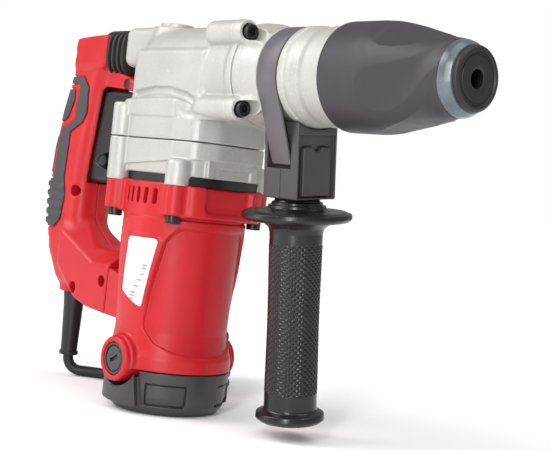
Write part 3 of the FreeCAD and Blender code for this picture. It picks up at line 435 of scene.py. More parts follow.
SLOT_FINISH = {
    "cast_aluminium": CAST, "red_nylon": RED, "charcoal_plastic": CHARCOAL, "black_plastic": BLACK,
    "grey_overmould": OVERMOULD, "sleeve_plastic": SLEEVE, "ring_plastic": RING,
    "black_rubber": RUBBER, "tool_steel": STEEL, "strap_steel": STRAP, "black_screws": SCREW,
    "bright_screws": SCREW_STEEL_PAINTED_SHADE, "winding_copper": COPPER, "brush_brass": BRASS,
    "lamination_steel": LAMINATION, "brush_carbon": CARBON, "cord_rubber": CORD,
}
for entry in frame["record"]["subparts"]:
    for material_slot in frame["nodes"][entry["node"]].material_slots:
        material_slot.material = SLOT_FINISH[entry["material_slot"]]
BODIES = frame["record"]["behaviour"]["bodies"]


def body_of(node):
    return next(name for name, nodes in BODIES.items() if node in nodes)


# ---------------------------------------------------------------- tool holder


CAP_R, RING_R = 19.0, 22.7
SLEEVE_REAR, RING_REAR, RING_FRONT = -96.4, -12.3, -4.0


def build_dust_cap():
    cap = turned("rubber_dust_cap", "x", [
        (-14, 13), (-14, 16.1), (-4.8, 16.1, 0.6), (-4.0, 18.0, 0.5), (-2.9, CAP_R, 1.3), (-1.3, CAP_R, 1.2),
        (0, 17.2, 1.0), (0, 15.6, 0.4), (-1.3, 15.0, 0.3), (-1.3, 13.9, 0.3), (-0.5, 13.5, 0.4),
        (-0.5, 7.0, 0.5), (-1.1, 5.6, 0.5), (-2.6, 5.6, 0.5), (-2.6, 12.9)])
    dress(cap, RUBBER, "tool_spindle", "black_rubber", "dust_cap")


def build_sleeve_ring():
    ring = turned("sleeve_front_ring", "x", [
        (RING_REAR + 0.4, 16.6), (RING_REAR + 0.4, RING_R - 0.3, 0.3), (-10.8, RING_R, 0.8),
        (-7.5, 21.6, 3), (RING_FRONT, 19.6, 0.8), (RING_FRONT, 16.6)])
    dress(ring, RING, "sleeve", "ring_plastic", "sleeve_ring")


def scoop_depth(along, radius, angle):
    """Five finger scoops: round at the rear, sweeping forward and round the sleeve."""
    stations = [-67, -62, -58, -52, -44, -36, -27, -21, -16, -12]
    centre = np.interp(along, stations, [-18, -18.5, -19.5, -20, -18, -12.7, -1.5, 12, 27, 40])
    half = np.interp(along, stations, [1, 14.5, 20, 23.5, 25, 25, 23.5, 22.5, 23, 24])
    depth = np.interp(along, stations, [0, 1.0, 1.9, 2.6, 2.9, 2.7, 2.0, 1.4, 0.9, 0.5])
    seen = np.degrees(np.arctan2(np.sin(angle), -np.cos(angle)))
    off = (seen - centre + 36) % 72 - 36
    share = np.clip(1 - (off / half) ** 2, 0, 1)
    outer = np.clip((radius - 21) / 1.5, 0, 1)
    return -depth * share ** 0.8 * outer


def build_lock_sleeve():
    rear, front = SLEEVE_REAR, RING_REAR
    skin = []
    steps = 150
    for step in range(steps + 1):
        x = -94.5 + (front + 0.6 + 94.5) * step / steps
        radius = np.interp(
            x, [rear, -70, -60, -52, -42, -30, front], [34.2, 34.2, 33.6, 32.3, 30.1, 26.9, 22.9])
        skin.append((x, float(radius)))
    profile = [(rear, 32.2), (rear, 33.6), (rear + 0.5, 34.1)] + skin + [
        (front, RING_R - 0.2), (front, 16.6), (-50, 16.6), (-50, 27), (-74, 27), (-74, 32.2)]
    sleeve = turned("lock_sleeve_shell", "x", profile, around=360, shift=scoop_depth)
    smooth = sleeve.modifiers.new("smooth", "SMOOTH")
    smooth.factor, smooth.iterations = 0.5, 4
    smooth.use_x = False
    dress(sleeve, SLEEVE, "sleeve", "sleeve_plastic", "lock_sleeve")


def build_lock_spring():
    """The lock sleeve's return spring, squeezed between the spindle's step and the sleeve."""
    coil = show(bpy.data.objects.new("lock_spring_coil", frame["nodes"]["lock_spring"].data.copy()))
    coil.data.materials.clear()
    coil.data.materials.append(STEEL)
    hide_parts("lock_spring")
    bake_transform(coil)


build_dust_cap()
build_sleeve_ring()
build_lock_sleeve()
build_lock_spring()


# ---------------------------------------------------------------- collar and gear housing


SCREW_Y, SCREW_Z = 28.9, 24.7
CORNERS = [(y * SCREW_Y, z * SCREW_Z) for y in (-1, 1) for z in (-1, 1)]


def build_collar():
    s = Space((-175, -38.5, -34), (-96, 38.5, 34), 0.55)
    body = s.lathe("x", [
        (-175, 10), (-175, 34.6, 1.2), (-168, 34.4, 4), (-160, 32.4, 3), (-154, 31.6, 0.6), (-154, 30.0),
        (-133.8, 30.0), (-133.8, 32.3, 0.5), (-129.4, 32.3, 0.5), (-128.6, 31.2, 0.4), (-127.4, 31.2, 0.4),
        (-126.6, 32.3, 0.8), (-122.5, 31.9, 3), (-117.5, 30.4, 3), (-112, 31.6, 2.5), (-97, 31.6, 0.8),
        (-97, 10)])
    for y, z in CORNERS:
        boss = s.lathe("x", [(-175, -9), (-175, 8.4, 0.6), (-168.2, 8.0, 0.8), (-168.2, -9)], (y, z))
        ramp = s.capsule((-174, y, z), (-152, y * 0.84, z * 0.84), 6.0)
        body = union(union(body, boss, 2.0), meet(ramp, s.x + 156, 4), 4.0)
    for y, z in CORNERS:
        body = cut(body, s.cylinder("x", 5.7, -170.5, -150, (y, z)), 0.6)
    body = cut(body, s.cylinder("x", 25.5, -98, -90))
    dress(s.mesh("barrel_collar_casting", body), CAST, "machine", "cast_aluminium", "barrel_collar")


CASE_REAR, CASE_FRONT, CASE_BULGE, CASE_Y = -290.5, -208.0, -201.0, 36.8
CASE_SEAM = -47.6
COLUMN_Y, COLUMN_R = 35.8, 8.3
COLUMNS = [(x, y * COLUMN_Y) for x in (-285.0, -217.3) for y in (-1, 1)]


def case_plan(inset=0.0, corner=6.0):
    side = CASE_Y - inset
    return mirrored([
        (CASE_REAR + inset, -side, corner), (-226, -side, 18), (CASE_FRONT - inset, -32, 10),
        (CASE_BULGE - inset, -14, 20)])


def build_gear_housing():
    s = Space((-335, -46, -48), (-170, 46, 36), 0.62)
    barrel = s.lathe("x", [
        (-292, -9), (-292, 20, 10), (-283, 31.5, 12), (-262, 33.6), (-184, 33.8, 3), (-180, 35, 1.5),
        (-175.4, 35, 0.7), (-175.4, -9)])
    cheeks = s.block((-285, -203), (-33.8, 33.8), (-32, 15.3), 5.5)
    neck = s.block((-322, -276), (-17.5, 17.5), (4.6, 33.5), 6.5)
    neck = union(neck, s.cylinder("x", 11.5, -334, -300, (0, 15.5)))
    body = union(union(barrel, cheeks, 1.2), neck, 7)
    pad = s.cylinder("z", 15.5, 20, 33.4, (-282, 0), 1.5)
    body = union(body, pad, 3)
    shelf_plan = mirrored([(-286, -38.2, 5), (-226, -38.2, 7), (-218, -33, 5)])
    shelf = s.prism("xy", shelf_plan, -33.0, -19.5, 2.5)
    shelf = meet(shelf, s.plane((-250, 0, -18.8), (-0.06, 0, 1)), 3)
    body = union(body, shelf, 2.5)
    for side in (-1, 1):
        ledge = [(-276, -17.5), (-256, -14.6), (-240, -14.6), (-221, -18.0), (-210, -22.5)]
        for (x0, z0), (x1, z1) in zip(ledge, ledge[1:]):
            body = cut(body, s.capsule((x0, side * 34.6, z0), (x1, side * 34.6, z1), 3.3), 0.8)
    case = s.prism("xy", case_plan(), CASE_SEAM, -30.5, 0.8)
    body = union(body, case, 0.8)
    for y, z in CORNERS:
        tube = s.capsule((-200 if z > 0 else -205, y, z), (-160, y, z), 8.2)
        body = union(body, meet(tube, s.x + 175.4, 0.8), 2.4)
    for side in (-1, 1):
        body = cut(body, s.capsule((-219, side * 37, -29.5), (-176, side * 27, -36.5), 3.0), 1.0)
    for x, y in COLUMNS[:2]:
        column = s.cylinder("z", COLUMN_R, -60, -24.0, (x, y), 2.6)
        body = union(body, meet(column, CASE_SEAM - s.z, 0.6), 1.6)
    selector_boss = s.cylinder("y", 18, 30, 37.6, (-236, 4), 1.2)
    body = union(body, selector_boss, 4)
    hollow = s.cylinder("x", 26, -270, -160)
    body = cut(body, hollow)
    body = meet(body, CASE_SEAM - s.z)
    dress(s.mesh("gear_housing_casting", body), CAST, "machine", "cast_aluminium", "gear_housing")


def build_lower_gear_case():
    s = Space((-296, -46, -79), (-199, 46, -47), 0.6)
    body = s.prism("xy", case_plan(), -71.5, -48.2, 0.8)
    step = s.plane((-217, 0, -61), (0.095, 0, -1))
    waist = s.prism("xy", case_plan(1.4), -71.5, -50, 1.2)
    body = union(cut(body, -step, 0.8), waist, 0.8)
    hollow = meet(s.prism("xy", case_plan(5.0), -80, -64, 1), -step)
    body = cut(body, hollow)
    recess = meet(s.block((-212, -190), (-30, 30), (-80, -64.5), 1.5), -s.plane((-204.2, 0, 0), (1, 0, 0)))
    body = cut(body, recess, 0.8)
    for y in (-19, 19):
        body = union(body, s.block((-212, -202.4), (y - 3.2, y + 3.2), (-71.5, -60), 1.4), 1.0)
    for x, y in COLUMNS:
        front = x > -250
        column = s.cylinder("z", COLUMN_R, -78.2, -60.5 if front else -48.2, (x, y), 4.0 if front else 0.8)
        column = union(column, s.cylinder("z", COLUMN_R, -78.2, -70, (x, y), 0.8))
        body = union(body, column, 2.0)
    dress(s.mesh("lower_gear_case_casting", body), CAST, "machine", "cast_aluminium", "lower_gear_case")


build_collar()
build_gear_housing()
build_lower_gear_case()


# ---------------------------------------------------------------- motor


MOTOR_X = -251.0
SEAM_Z, BASE_Z = -206.0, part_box("end_cap")[0].z / MM
BRUSH_Z, BRUSH_R = -200.7, 15.9


def around_motor(x, y):
    """The angle from straight ahead about the motor's axis, in degrees and alike on both sides, and
    the radius."""
    return np.degrees(np.arctan2(np.abs(y), x - MOTOR_X)), np.hypot(x - MOTOR_X, y)


def front_panel(angle, z):
    """The recessed panel round the motor's front: negative inside, in millimetres on the surface."""
    edge = np.interp(z, [-190, -178, -151, -133, -118, -110], [61, 69, 63.5, 57.5, 52.5, 46])
    foot = np.interp(angle, [0, 20, 36, 55, 68, 90], [-194.5, -194, -191.8, -186.8, -178.5, -160])
    return meet(meet((angle - edge) * 0.72, z + 108.0, 9), foot - z, 7)


def housing_radius(z):
    return np.interp(z, [-205, -192, -180, -107], [43.7, 41.6, 40.4, 42.4])


def raised_radius(z):
    """The raised panel that carries the rating plate, fading into the housing lower down."""
    return housing_radius(z) + 1.5 * np.clip((z + 182) / 45, 0, 1)


def in_front_panel(middles):
    x, y, z = middles.T / MM
    angle, radius = around_motor(x, y)
    return (front_panel(angle, z) < -0.6) & (radius > 36)


def build_motor_housing():
    s = Space((-306, -50, -218), (-198, 50, -77), 0.64)
    body = s.lathe("z", [
        (-78, -9), (-78, 41.5), (-107, 42.6, 30), (-180, 40.2, 30), (-192, 41.6, 8), (-197, 43.4, 4),
        (-205.6, 43.7, 0.5), (-205.6, -9)], (MOTOR_X, 0))
    angle, radius = around_motor(s.x, s.y)
    outer = housing_radius(s.z)
    body = cut(body, meet(front_panel(angle, s.z), outer - 1.7 - radius), 1.0)
    pad = meet(angle * 0.73 - 84.0, s.z + 101.5, 17)
    raised = raised_radius(s.z)
    pad = meet(meet(pad, -front_panel(angle, s.z) + 1.2, 1.0), meet(radius - raised, -182 - s.z))
    body = union(body, pad, 0.5)
    body = union(body, meet(label_field(s, 2.4), radius - raised - 0.5, 0.6), 0.5)
    flange_plan = mirrored([(-295, -36.8, 6), (-222, -36.8, 12), (-205, -31, 8), (-201.5, -19, 6)])
    flange = s.prism("xy", flange_plan, -99, -77.9, 1.6)
    window = s.block((-206.5, -190), (-20.5, 20.5), (-95.5, -60), 5.0)
    flange = cut(flange, window, 2.6)
    body = union(body, flange, 3.0)
    for x, y in COLUMNS:
        lug = s.cylinder("z", COLUMN_R - 0.6, -98.5, -77.9, (x, y), 1.2)
        body = union(body, lug, 4.0)
    for step in range(5):
        x = -266.5 + 7.6 * step
        slot = np.hypot(s.x - x, np.maximum(np.abs(s.z + 87.2) - 3.8, 0)) - 1.75
        body = cut(body, meet(slot, 31.5 - np.abs(s.y)), 0.6)
    for side in (-1, 1):
        collar = s.cylinder("y", BRUSH_R + 0.9, 0, side * 44.6, (MOTOR_X, BRUSH_Z), 1.4)
        body = union(body, collar, 2.4)
    stub = s.prism("xz", [
        (-303.2, -143.4), (-303.2, -177.4, 1.5), (-280, -178.6), (-262, -178.6), (-262, -143.4)],
        -23.6, 23.6, 1.6)
    stub = cut(stub, s.plane((-303, 0, -143.4), (-0.2, 0, -1)), 1)
    body = union(body, stub, 3.0)
    body = cut(body, meet(label_field(s, 0.3), raised - 0.4 - radius), 0.4)
    hollow = s.cylinder("z", 36, -300, -82, (MOTOR_X, 0))
    body = cut(body, hollow)
    body = cut(body, s.cylinder("y", 6, -60, 60, (-311, -154.4)))
    body = meet(body, SEAM_Z + 0.4 - s.z)
    for side in (-1, 1):
        ring_part = s.cylinder("y", BRUSH_R - 0.4, side * 32, side * 49.0, (MOTOR_X, BRUSH_Z), 2.6)
        body = union(body, ring_part, 0.6)
        body = cut(body, s.cylinder("y", 11.4, side * 44, side * 60, (MOTOR_X, BRUSH_Z)), 0.5)
    moulding = s.mesh("motor_housing_moulding", body)
    dress(moulding, RED, "machine", "red_nylon", "motor_housing")
    second_finish(moulding, RED_TEXTURED, in_front_panel)


LABEL_CORNERS = [
    (-253.6, -115.8, 3), (-228.4, -115.6, 3), (-238.0, -163.6, 2), (-243.5, -161.5, 2), (-258.4, -153.8, 3)]


def label_field(s, margin):
    flat = polygon(s.x, s.z, LABEL_CORNERS)
    return meet(flat - margin, s.y)


def build_label():
    """A blank rating label with a few plain bars, lying on the curve of the motor housing."""
    s = Space((-262, -45, -166), (-226, -30, -112), 0.3)
    _, radius = around_motor(s.x, s.y)
    outer = raised_radius(s.z)
    face = meet(label_field(s, 0.0), np.abs(radius - outer + 0.05) - 0.35)
    dress(s.mesh("rating_label", face), LABEL, "machine", "red_nylon")
    bars = None
    for u, v, length in (
            (-236.0, -134.5, 3.5), (-236.8, -136.6, 3.5), (-238.2, -141, 3), (-240.5, -145, 4),
            (-243.0, -149.5, 4.5), (-245.5, -154, 5.0), (-246.5, -156.2, 5.0), (-246.5, -158.4, 3.5)):
        flat = meet(np.abs(s.x - u) - length / 2, np.abs(s.z - v) - 0.45)
        bar = meet(flat, np.abs(radius - outer - 0.3) - 0.35)
        bars = bar if bars is None else union(bars, bar)
    dress(s.mesh("rating_label_print", meet(bars, s.y)), INK, "machine", "red_nylon")


def build_end_cap():
    s = Space((-297, -50, BASE_Z), (-205, 50, SEAM_Z + 13), 0.6)
    body = s.lathe("z", [
        (SEAM_Z - 0.3, -9), (SEAM_Z - 0.3, 43.3, 0.6), (-223, 43.1, 6), (-230, 41.2, 4),
        (BASE_Z + 0.1, 36, 2), (BASE_Z + 0.1, -9)], (MOTOR_X, 0))
    angle, radius = around_motor(s.x, s.y)
    arc = math.radians(1) * 42
    cheek = meet(meet(radius - 45.6, (67 + (s.z - SEAM_Z) * 0.22 - angle) * arc), (angle - 113) * arc)
    cheek = meet(cheek, -231 - s.z, 3)
    cheek = meet(cheek, s.z - SEAM_Z + 0.3, 0.5)
    body = union(body, cheek, 0.5)
    rim = meet(meet(radius - 46.6, 41.0 - radius), (np.abs(angle - 66.6 - (s.z - SEAM_Z) * 0.2) - 2.2) * arc)
    body = cut(body, meet(meet(rim, s.z - SEAM_Z + 1.5), -230.5 - s.z), 0.5)
    panel = meet(meet((angle - 57) * arc, (19 - angle) * arc, 0.5), np.abs(s.z + 221.5) - 7.2, 1.0)
    lip = np.interp(s.z, [-232, -229, -224, -205], [39.0, 40.2, 42.0, 42.2])
    body = cut(body, meet(panel, lip - radius), 0.5)
    body = cut(body, meet(np.abs(panel) - 0.45, lip - 1.4 - radius), 0.3)
    for side in (-1, 1):
        body = cut(body, s.cylinder("y", BRUSH_R + 2.6, 0, side * 60, (MOTOR_X, BRUSH_Z)), 0.3)
    body = cut(body, s.cylinder("z", 33, -231, -190, (MOTOR_X, 0)))
    body = meet(body, BASE_Z - s.z)
    dress(s.mesh("end_cap_moulding", body), CHARCOAL, "machine", "charcoal_plastic", "end_cap")


def build_brush_caps():
    for side, name in ((-1, "right"), (1, "left")):
        cap = turned("brush_cap_" + name, "y", [
            (side * 40, 0.01), (side * 47.8, 0.01), (side * 47.8, 8.3, 0.2), (side * 46.8, 8.6, 0.2),
            (side * 46.8, 9.2, 0.2), (side * 48.2, 9.5, 0.2), (side * 48.2, 10.7, 0.5),
            (side * 47.0, 11.2, 0.3), (side * 40, 11.2)], (MOTOR_X, BRUSH_Z), around=96)
        bar = bpy.data.objects.new("bar", block_mesh((-1.4, side * 45.8, -4.6), (1.4, side * 52, 4.6)))
        centre = Matrix.Translation(Vector((MOTOR_X, 0, BRUSH_Z)) * MM)
        bar.matrix_world = centre @ Matrix.Rotation(math.radians(62), 4, "Y")
        show(bar)
        slot_cut = cap.modifiers.new("slot", "BOOLEAN")
        slot_cut.object, slot_cut.operation, slot_cut.solver = bar, "DIFFERENCE", "EXACT"
        apply_modifiers(cap)
        bpy.data.objects.remove(bar)
        cap.data.set_sharp_from_angle(angle=math.radians(40))
        if side < 0:
            dress(cap, CHARCOAL, "machine", "black_plastic", "brush_caps")
        else:
            dress(cap, CHARCOAL, "machine", "black_plastic")


def block_mesh(low, high):
    (x0, x1), (y0, y1), (z0, z1) = (sorted(pair) for pair in zip(low, high))
    points = np.array([(x, y, z) for x in (x0, x1) for y in (y0, y1) for z in (z0, z1)]) * MM
    faces = [(0, 1, 3, 2), (4, 6, 7, 5), (0, 4, 5, 1), (2, 3, 7, 6), (0, 2, 6, 4), (1, 5, 7, 3)]
    mesh = bpy.data.meshes.new("block")
    mesh.from_pydata([tuple(p) for p in points], [], faces)
    return mesh


build_motor_housing()
build_label()
build_end_cap()
build_brush_caps()


# ---------------------------------------------------------------- rear handle


PIVOT = (-311.0, -154.4)
CORD_X = -378.6
# The screw wells and holes of the right half: x, z, the y of the well's floor, and its radius.
HANDLE_HOLES = [
    (-386.4, 14, -4, 3.2), (-322, -7.7, -9.2, 3.9), (-369.3, -91.2, -6.5, 4.4), (-401.8, -132.5, -1, 3.2),
    (-348, -163.6, -8, 4.4)]


def handle_field(s):
    thin = np.abs(s.y) - 17.2
    spine = meet(polygon(s.x, s.z, [
        (-352, 28.5, 4), (-392, 25, 7), (-391.5, 0, 20), (-401, -28, 30), (-408, -58, 30), (-411.5, -92, 40),
        (-410, -118, 30), (-404, -140, 20), (-388, -164, 12), (-345, -172), (-332, -150), (-332, -133, 4),
        (-361, -130, 20), (-361, -84, 6), (-349.5, -6, 6), (-345, 4, 6), (-345, 24, 4)]), thin, 14)
    head_plan = mirrored([(-391.5, -8, 5), (-384, -18.2, 7), (-344, -18.2, 3)])
    head = s.prism("xy", head_plan, 3.5, 29, 3.5)
    head = meet(head, s.plane((-372, 0, 27.5), (-0.10, 0, 1)), 3)
    tongue = s.prism("xz", [
        (-366, 3), (-341, 2.5, 2), (-330, 0.5, 3), (-312.5, -5, 3), (-312.5, -13.2, 2), (-348, -11),
        (-366, -12)], -11.5, 11.5, 3)
    arm = s.prism("xz", [
        (-397, -118), (-406, -138, 10), (-390, -160, 10), (-366, -166.5), (-347, -171), (-329, -175.6),
        (-303.8, -177.6, 1), (-303.8, -131, 1), (-335, -131, 8), (-362, -112)], -24, 24, 3)
    arm_plan = mirrored([(-303, -25), (-370, -25, 12), (-395, -17, 10), (-407, -3, 3)])
    arm = meet(arm, s.prism("xy", arm_plan, -200, 0), 3)
    for side in (-1, 1):
        arm = meet(arm, s.plane((-373, side * 20, -150.5), (-0.55, side * 0.55, -0.63)), 2)
        arm = meet(arm, s.plane((-378, side * 16, -160), (-0.84, side * 0.54, 0)), 1.5)
    ridge = [(-377, -121), (-365, -125.5), (-326, -142.8), (-303, -142.8)]
    top = np.interp(s.x, [p[0] for p in ridge], [p[1] for p in ridge])
    slope = (s.z - top) * 0.8 + (np.abs(s.y) - 24) * 0.6
    arm = meet(arm, slope, 2.0)
    body = union(union(spine, head, 3), tongue, 4)
    body = union(body, arm, 5)
    trigger_way = s.prism(
        "xz", [(-364, -9), (-345, -10), (-320, -12), (-320, -84), (-373, -84)], -10.2, 10.2, 1)
    body = cut(body, trigger_way, 0.8)
    for x, z, floor, size in HANDLE_HOLES:
        well = s.cylinder("y", size, 10, -60, (x, z))
        body = cut(body, meet(well, s.y - floor), 0.7)
    for x, z, floor, size in HANDLE_HOLES:
        body = cut(body, meet(s.cylinder("y", 2.6, 0, 60, (x, z)), 14 - s.y), 0.6)
    body = cut(body, meet(s.cylinder("y", 4.2, -60, 60, PIVOT), 13 - np.abs(s.y)), 0.6)
    boss = s.lathe("z", [(-150, -9), (-150, 13), (-170, 12.2, 2), (-170, -9)], (CORD_X, 0))
    body = union(body, boss, 3)
    return cut(body, s.cylinder("z", 9.2, -190, -150, (CORD_X, 0)), 0.5)


GRIP_BAND = [
    (-392, -3), (-370.4, -2.9, 1), (-362.5, -11.6, 1), (-362.4, -31.0, 1), (-366.4, -38.8, 1.5),
    (-381.8, -46.6, 2), (-384.2, -82), (-380.9, -95.1, 1), (-384.0, -114.4, 1), (-391, -121, 1), (-420, -123),
    (-420, -83.6), (-400.2, -83.0, 1.5), (-397.8, -46.0, 2), (-378.0, -36.4, 2), (-377.2, -23.8, 2),
    (-374.6, -12.4, 1.5), (-377.4, -9.4, 1), (-420, -9), (-420, 0)]
GRIP_PATCH = [
    (-420, -13.0), (-380.6, -12.8, 2), (-380.4, -22.0, 3), (-386.5, -34.5, 2), (-391, -38.0, 2), (-420, -42)]
GRIP_STRIPE = [(-420, -48.0), (-400.9, -49.4, 1.5), (-403.2, -79.6, 1.5), (-420, -80)]
GRIP_LIFT = 0.35


def in_handle_hole(middles):
    x, y, z = middles.T / MM
    chosen = np.zeros(len(x), bool)
    for u, v, floor, size in HANDLE_HOLES:
        chosen |= (np.hypot(x - u, z - v) < size - 0.1) & (y > floor - 5) & (y < 0)
    return chosen | ((np.hypot(x - PIVOT[0], z - PIVOT[1]) < 4.1) & (np.abs(y) < 21))


def build_handle():
    s = Space((-413, -25, -179), (-302, 25, 30), 0.66)
    body = handle_field(s)
    soft = np.minimum(np.minimum(
        polygon(s.x, s.z, GRIP_BAND), polygon(s.x, s.z, GRIP_PATCH)), polygon(s.x, s.z, GRIP_STRIPE))
    groove = meet(np.abs(soft) - 0.5, -(body + 1.0))
    shell = cut(body, groove, 0.5)
    shell = np.maximum(shell, -np.maximum(soft + 0.2, -(body + 0.9)))
    seam = np.abs(s.y) - 0.28
    shell = cut(shell, meet(seam, -(body + 0.8)), 0.4)
    for side, name in ((-1, "right"), (1, "left")):
        half = meet(shell, 0.02 - s.y * side)
        moulding = s.mesh("handle_%s_half" % name, half)
        dress(moulding, RED, "rear_handle", "red_nylon", "handle_%s_shell" % name)
        # The screw wells and the pivot hole get the darker red, painted shade for their recesses.
        second_finish(moulding, RED_PAINTED_SHADE, in_handle_hole)
    ribs = np.clip(np.abs(((s.z + 101.5 + s.x * 0.14) % 7.2) - 3.6) - 1.0, 0, 1) * 1.3
    ribs = np.where((s.z < -86) & (s.z > -121) & (s.x < -383), ribs * 0.9 - GRIP_LIFT, 0)
    skin = meet(meet(body - GRIP_LIFT - ribs, -(body + 1.0)), soft + 0.45, 0.8)
    dress(s.mesh("handle_soft_grip", skin), OVERMOULD, "rear_handle", "grey_overmould", "grip_pads")


def build_trigger():
    s = Space((-366, -11, -85), (-311, 11, -8), 0.5)
    body = s.prism("xz", [
        (-352, -12.6, 1), (-341, -12.4, 1), (-313, -13.5, 4), (-314.5, -24, 14), (-330, -42, 40),
        (-334, -60, 30), (-336.5, -79, 5), (-340, -82.8, 2), (-362.6, -82.8, 1), (-362, -60),
        (-353, -12.6)], -9.2, 9.2, 5)
    reach = np.clip(s.x + 355.5, 0, 30)
    scoop = np.hypot((s.y + 9.4) * 1.2, (s.z + 66.3) * 0.95) - 1.55 * reach ** 0.5 - 0.02 * reach
    body = cut(body, meet(scoop, -(s.x + 355.5)), 0.6)
    body = cut(body, s.cylinder("y", 4.4, -20, 20, (-344, -66)), 0.3)
    dress(s.mesh("trigger_paddle", body), BLACK, "switch_trigger", "black_plastic", "trigger")


def build_bellows():
    count, rear, front, centre = 5, -352.0, -321.5, 15.5
    pitch = (front - rear) / count
    profile = [(rear, 13.4)]
    for number in range(count):
        start = rear + pitch * number
        profile += [(start + pitch * 0.10, 13.6, 0.6), (start + pitch * 0.36, 17.6, 1.2),
                    (start + pitch * 0.64, 17.6, 1.2), (start + pitch * 0.90, 13.6, 0.6)]
    profile += [(front, 13.4), (front, 11), (rear, 11)]

    def squared(along, radius, angle):
        lobes = 1 + 0.055 * (1 - np.cos(4 * angle)) * np.clip((radius - 12) / 4, 0, 1)
        return radius * (lobes - 1)

    bellows = turned("bellows_boot", "x", profile, (0, centre), around=120, shift=squared)
    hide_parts("handle_bellows")
    bellows.data.materials.append(RUBBER)
    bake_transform(bellows)


def build_strain_relief():
    relief = turned("strain_relief_boot", "z", [
        (-158, 4.1), (-158, 8.9), (-166, 8.9, 0.5), (-170, 8.6, 0.6), (-180, 7.7), (-217, 6.3, 0.5),
        (-217, 7.4, 0.6), (-219.9, 7.3, 0.6), (-219.9, 4.1)], (CORD_X, 0), around=64)
    dress(relief, RUBBER, "rear_handle", "black_rubber", "strain_relief")


def build_pivot():
    """The handle's cross pin, its ends hidden deep in their holes."""
    profile = [(-12, 0.01), (-12, 4.0, 0.5), (12, 4.0, 0.5), (12, 0.01)]
    pin = turned("handle_pivot_shaft", "y", profile, PIVOT, around=48)
    dress(pin, RUBBER, body_of("pivot_pin"), "tool_steel", "pivot_pin")


build_handle()
build_pivot()
build_trigger()
build_bellows()
build_strain_relief()


# ---------------------------------------------------------------- side handle


CLAMP_SPLIT = -143.5


def build_clamp_blocks():
    s = Space((-160, -18.5, -79), (-127, 18.5, -25), 0.42)
    body = s.block((-159.4, -127.6), (-17.4, 17.4), (-78, -26), 0.8)
    body = cut(body, s.cylinder("x", 33.3, -170, -120), 0.6)
    for side in (-1, 1):
        outer = s.plane((0, side * 26.5, -6.8), (0, side * 0.955, -0.297))
        notch = meet(meet(-outer, -58.5 - s.z), np.abs(s.x + 145.3) - 11.2)
        body = cut(body, notch, 0.3)
    panel_edge = polygon(s.y, s.z, [(-12.5, -76), (-12.5, -44, 3.5), (12.5, -44, 3.5), (12.5, -76)])
    notch_round = np.hypot(s.y, s.z + 43.5) - 3.4
    sunk = meet(meet(-(s.x + 130.0), -cut(panel_edge, notch_round, 0.4)), np.abs(s.y) - 16.0)
    sunk = meet(sunk, -(s.z + 77.0))
    body = cut(body, meet(sunk, s.z + 36.5), 0.4)
    border = meet(np.abs(cut(panel_edge, notch_round, 0.4)) - 0.5, -(s.x + 131.6))
    body = cut(body, meet(meet(border, -(s.z + 77.0)), s.z + 36.5), 0.3)
    behind = s.x - CLAMP_SPLIT
    body = cut(body, meet(np.abs(behind) - 0.22, 16.6 - np.abs(s.y)), 0.3)
    for name, field in (("rear", behind), ("front", -behind)):
        block = swivelled(s.mesh("clamp_block_%s_half" % name, meet(body, field)))
        dress(block, BLOCK, "side_handle", "black_plastic", "clamp_block_" + name)


def knurl(along, radius, angle):
    """A fine diamond knurl on the barrel of the side grip."""
    zone = np.clip((along + 207) / 2.0, 0, 1) * np.clip((-107 - along) / 2.0, 0, 1)
    pitch, starts = 3.6, 28
    turns = angle * starts / (2 * math.pi)
    rise = along / pitch
    first = np.abs(((turns + rise) % 1) - 0.5) * 2
    second = np.abs(((turns - rise) % 1) - 0.5) * 2
    return zone * (np.maximum(first, second) - 0.8) * 0.85 * (radius > 12)


def build_side_grip():
    rows = 420
    barrel = [
        (-101 - 112 * n / rows, 17.2 + 0.25 * math.cos(n / rows * 2 * math.pi)) for n in range(rows + 1)]
    grip = turned("side_grip_moulding", "z", [
        (-78.3, 4), (-78.3, 14.5, 0.4), (-80.2, 15.2, 0.4), (-80.6, 16.6, 0.4), (-82.2, 17.0, 0.4),
        (-82.6, 18.8, 0.4), (-84.4, 19.4, 0.6), (-85.6, 24, 2), (-86.0, 32, 2), (-87.6, 36.0, 0.8),
        (-90.6, 36.3, 1.4), (-92.6, 34.0, 1.5), (-93.2, 24, 4), (-97.5, 18.3, 3)] + barrel + [
        (-217.6, 17.6, 2), (-219.4, 22.4, 0.9), (-223.2, 23.1, 1.5), (-225.4, 20.5, 1.5), (-227, 15, 2),
        (-227, 0.01), (-125, 0.01), (-125, 4)], (GRIP_X, 0), around=352, shift=knurl)
    dress(swivelled(grip), GRIP_BLACK, "side_grip_piece", "black_plastic", "side_grip")


def build_strap():
    strap = bevelled("clamp_strap_band", "clamp_strap", 0.35, segments=2, angle=35)
    strap.data.transform(Matrix.Rotation(math.radians(-SWIVEL), 4, "X"))
    for vertex in strap.data.vertices:
        drop = max(0.0, -9 * MM - vertex.co.z)
        vertex.co.y -= math.copysign(drop * 0.083, vertex.co.y)
    swivelled(strap)
    dress(strap, STRAP, "side_handle", "strap_steel", "clamp_strap")


build_clamp_blocks()
build_side_grip()
build_strap()


# ---------------------------------------------------------------- screws and small controls


def build_screws():
    # The handle screws take the darkened steel, painted shade for their wells.
    for node, width, finish_used, slot in (
            ("flange_screws", 0.35, SCREW, "black_screws"),
            ("motor_flange_screws", 0.35, SCREW, "black_screws"),
            ("end_cap_screws", 0.3, SCREW, "black_screws"), ("mode_selector", 1.2, BLACK, "black_plastic"),
            ("grease_cap", 0.7, CAST, "cast_aluminium"), ("handle_screws", 0.25, SCREW_STEEL_PAINTED_SHADE, "bright_screws")):
        thing = bevelled(node + "_set", node, width)
        if node == "handle_screws":
            thing.data.transform(Matrix.Diagonal((1, 0.7, 1, 1)))
        if node == "motor_flange_screws":
            trim(thing, (0, 0, -72), (0, 0, 1))
        dress(thing, finish_used, body_of(node), slot, node)


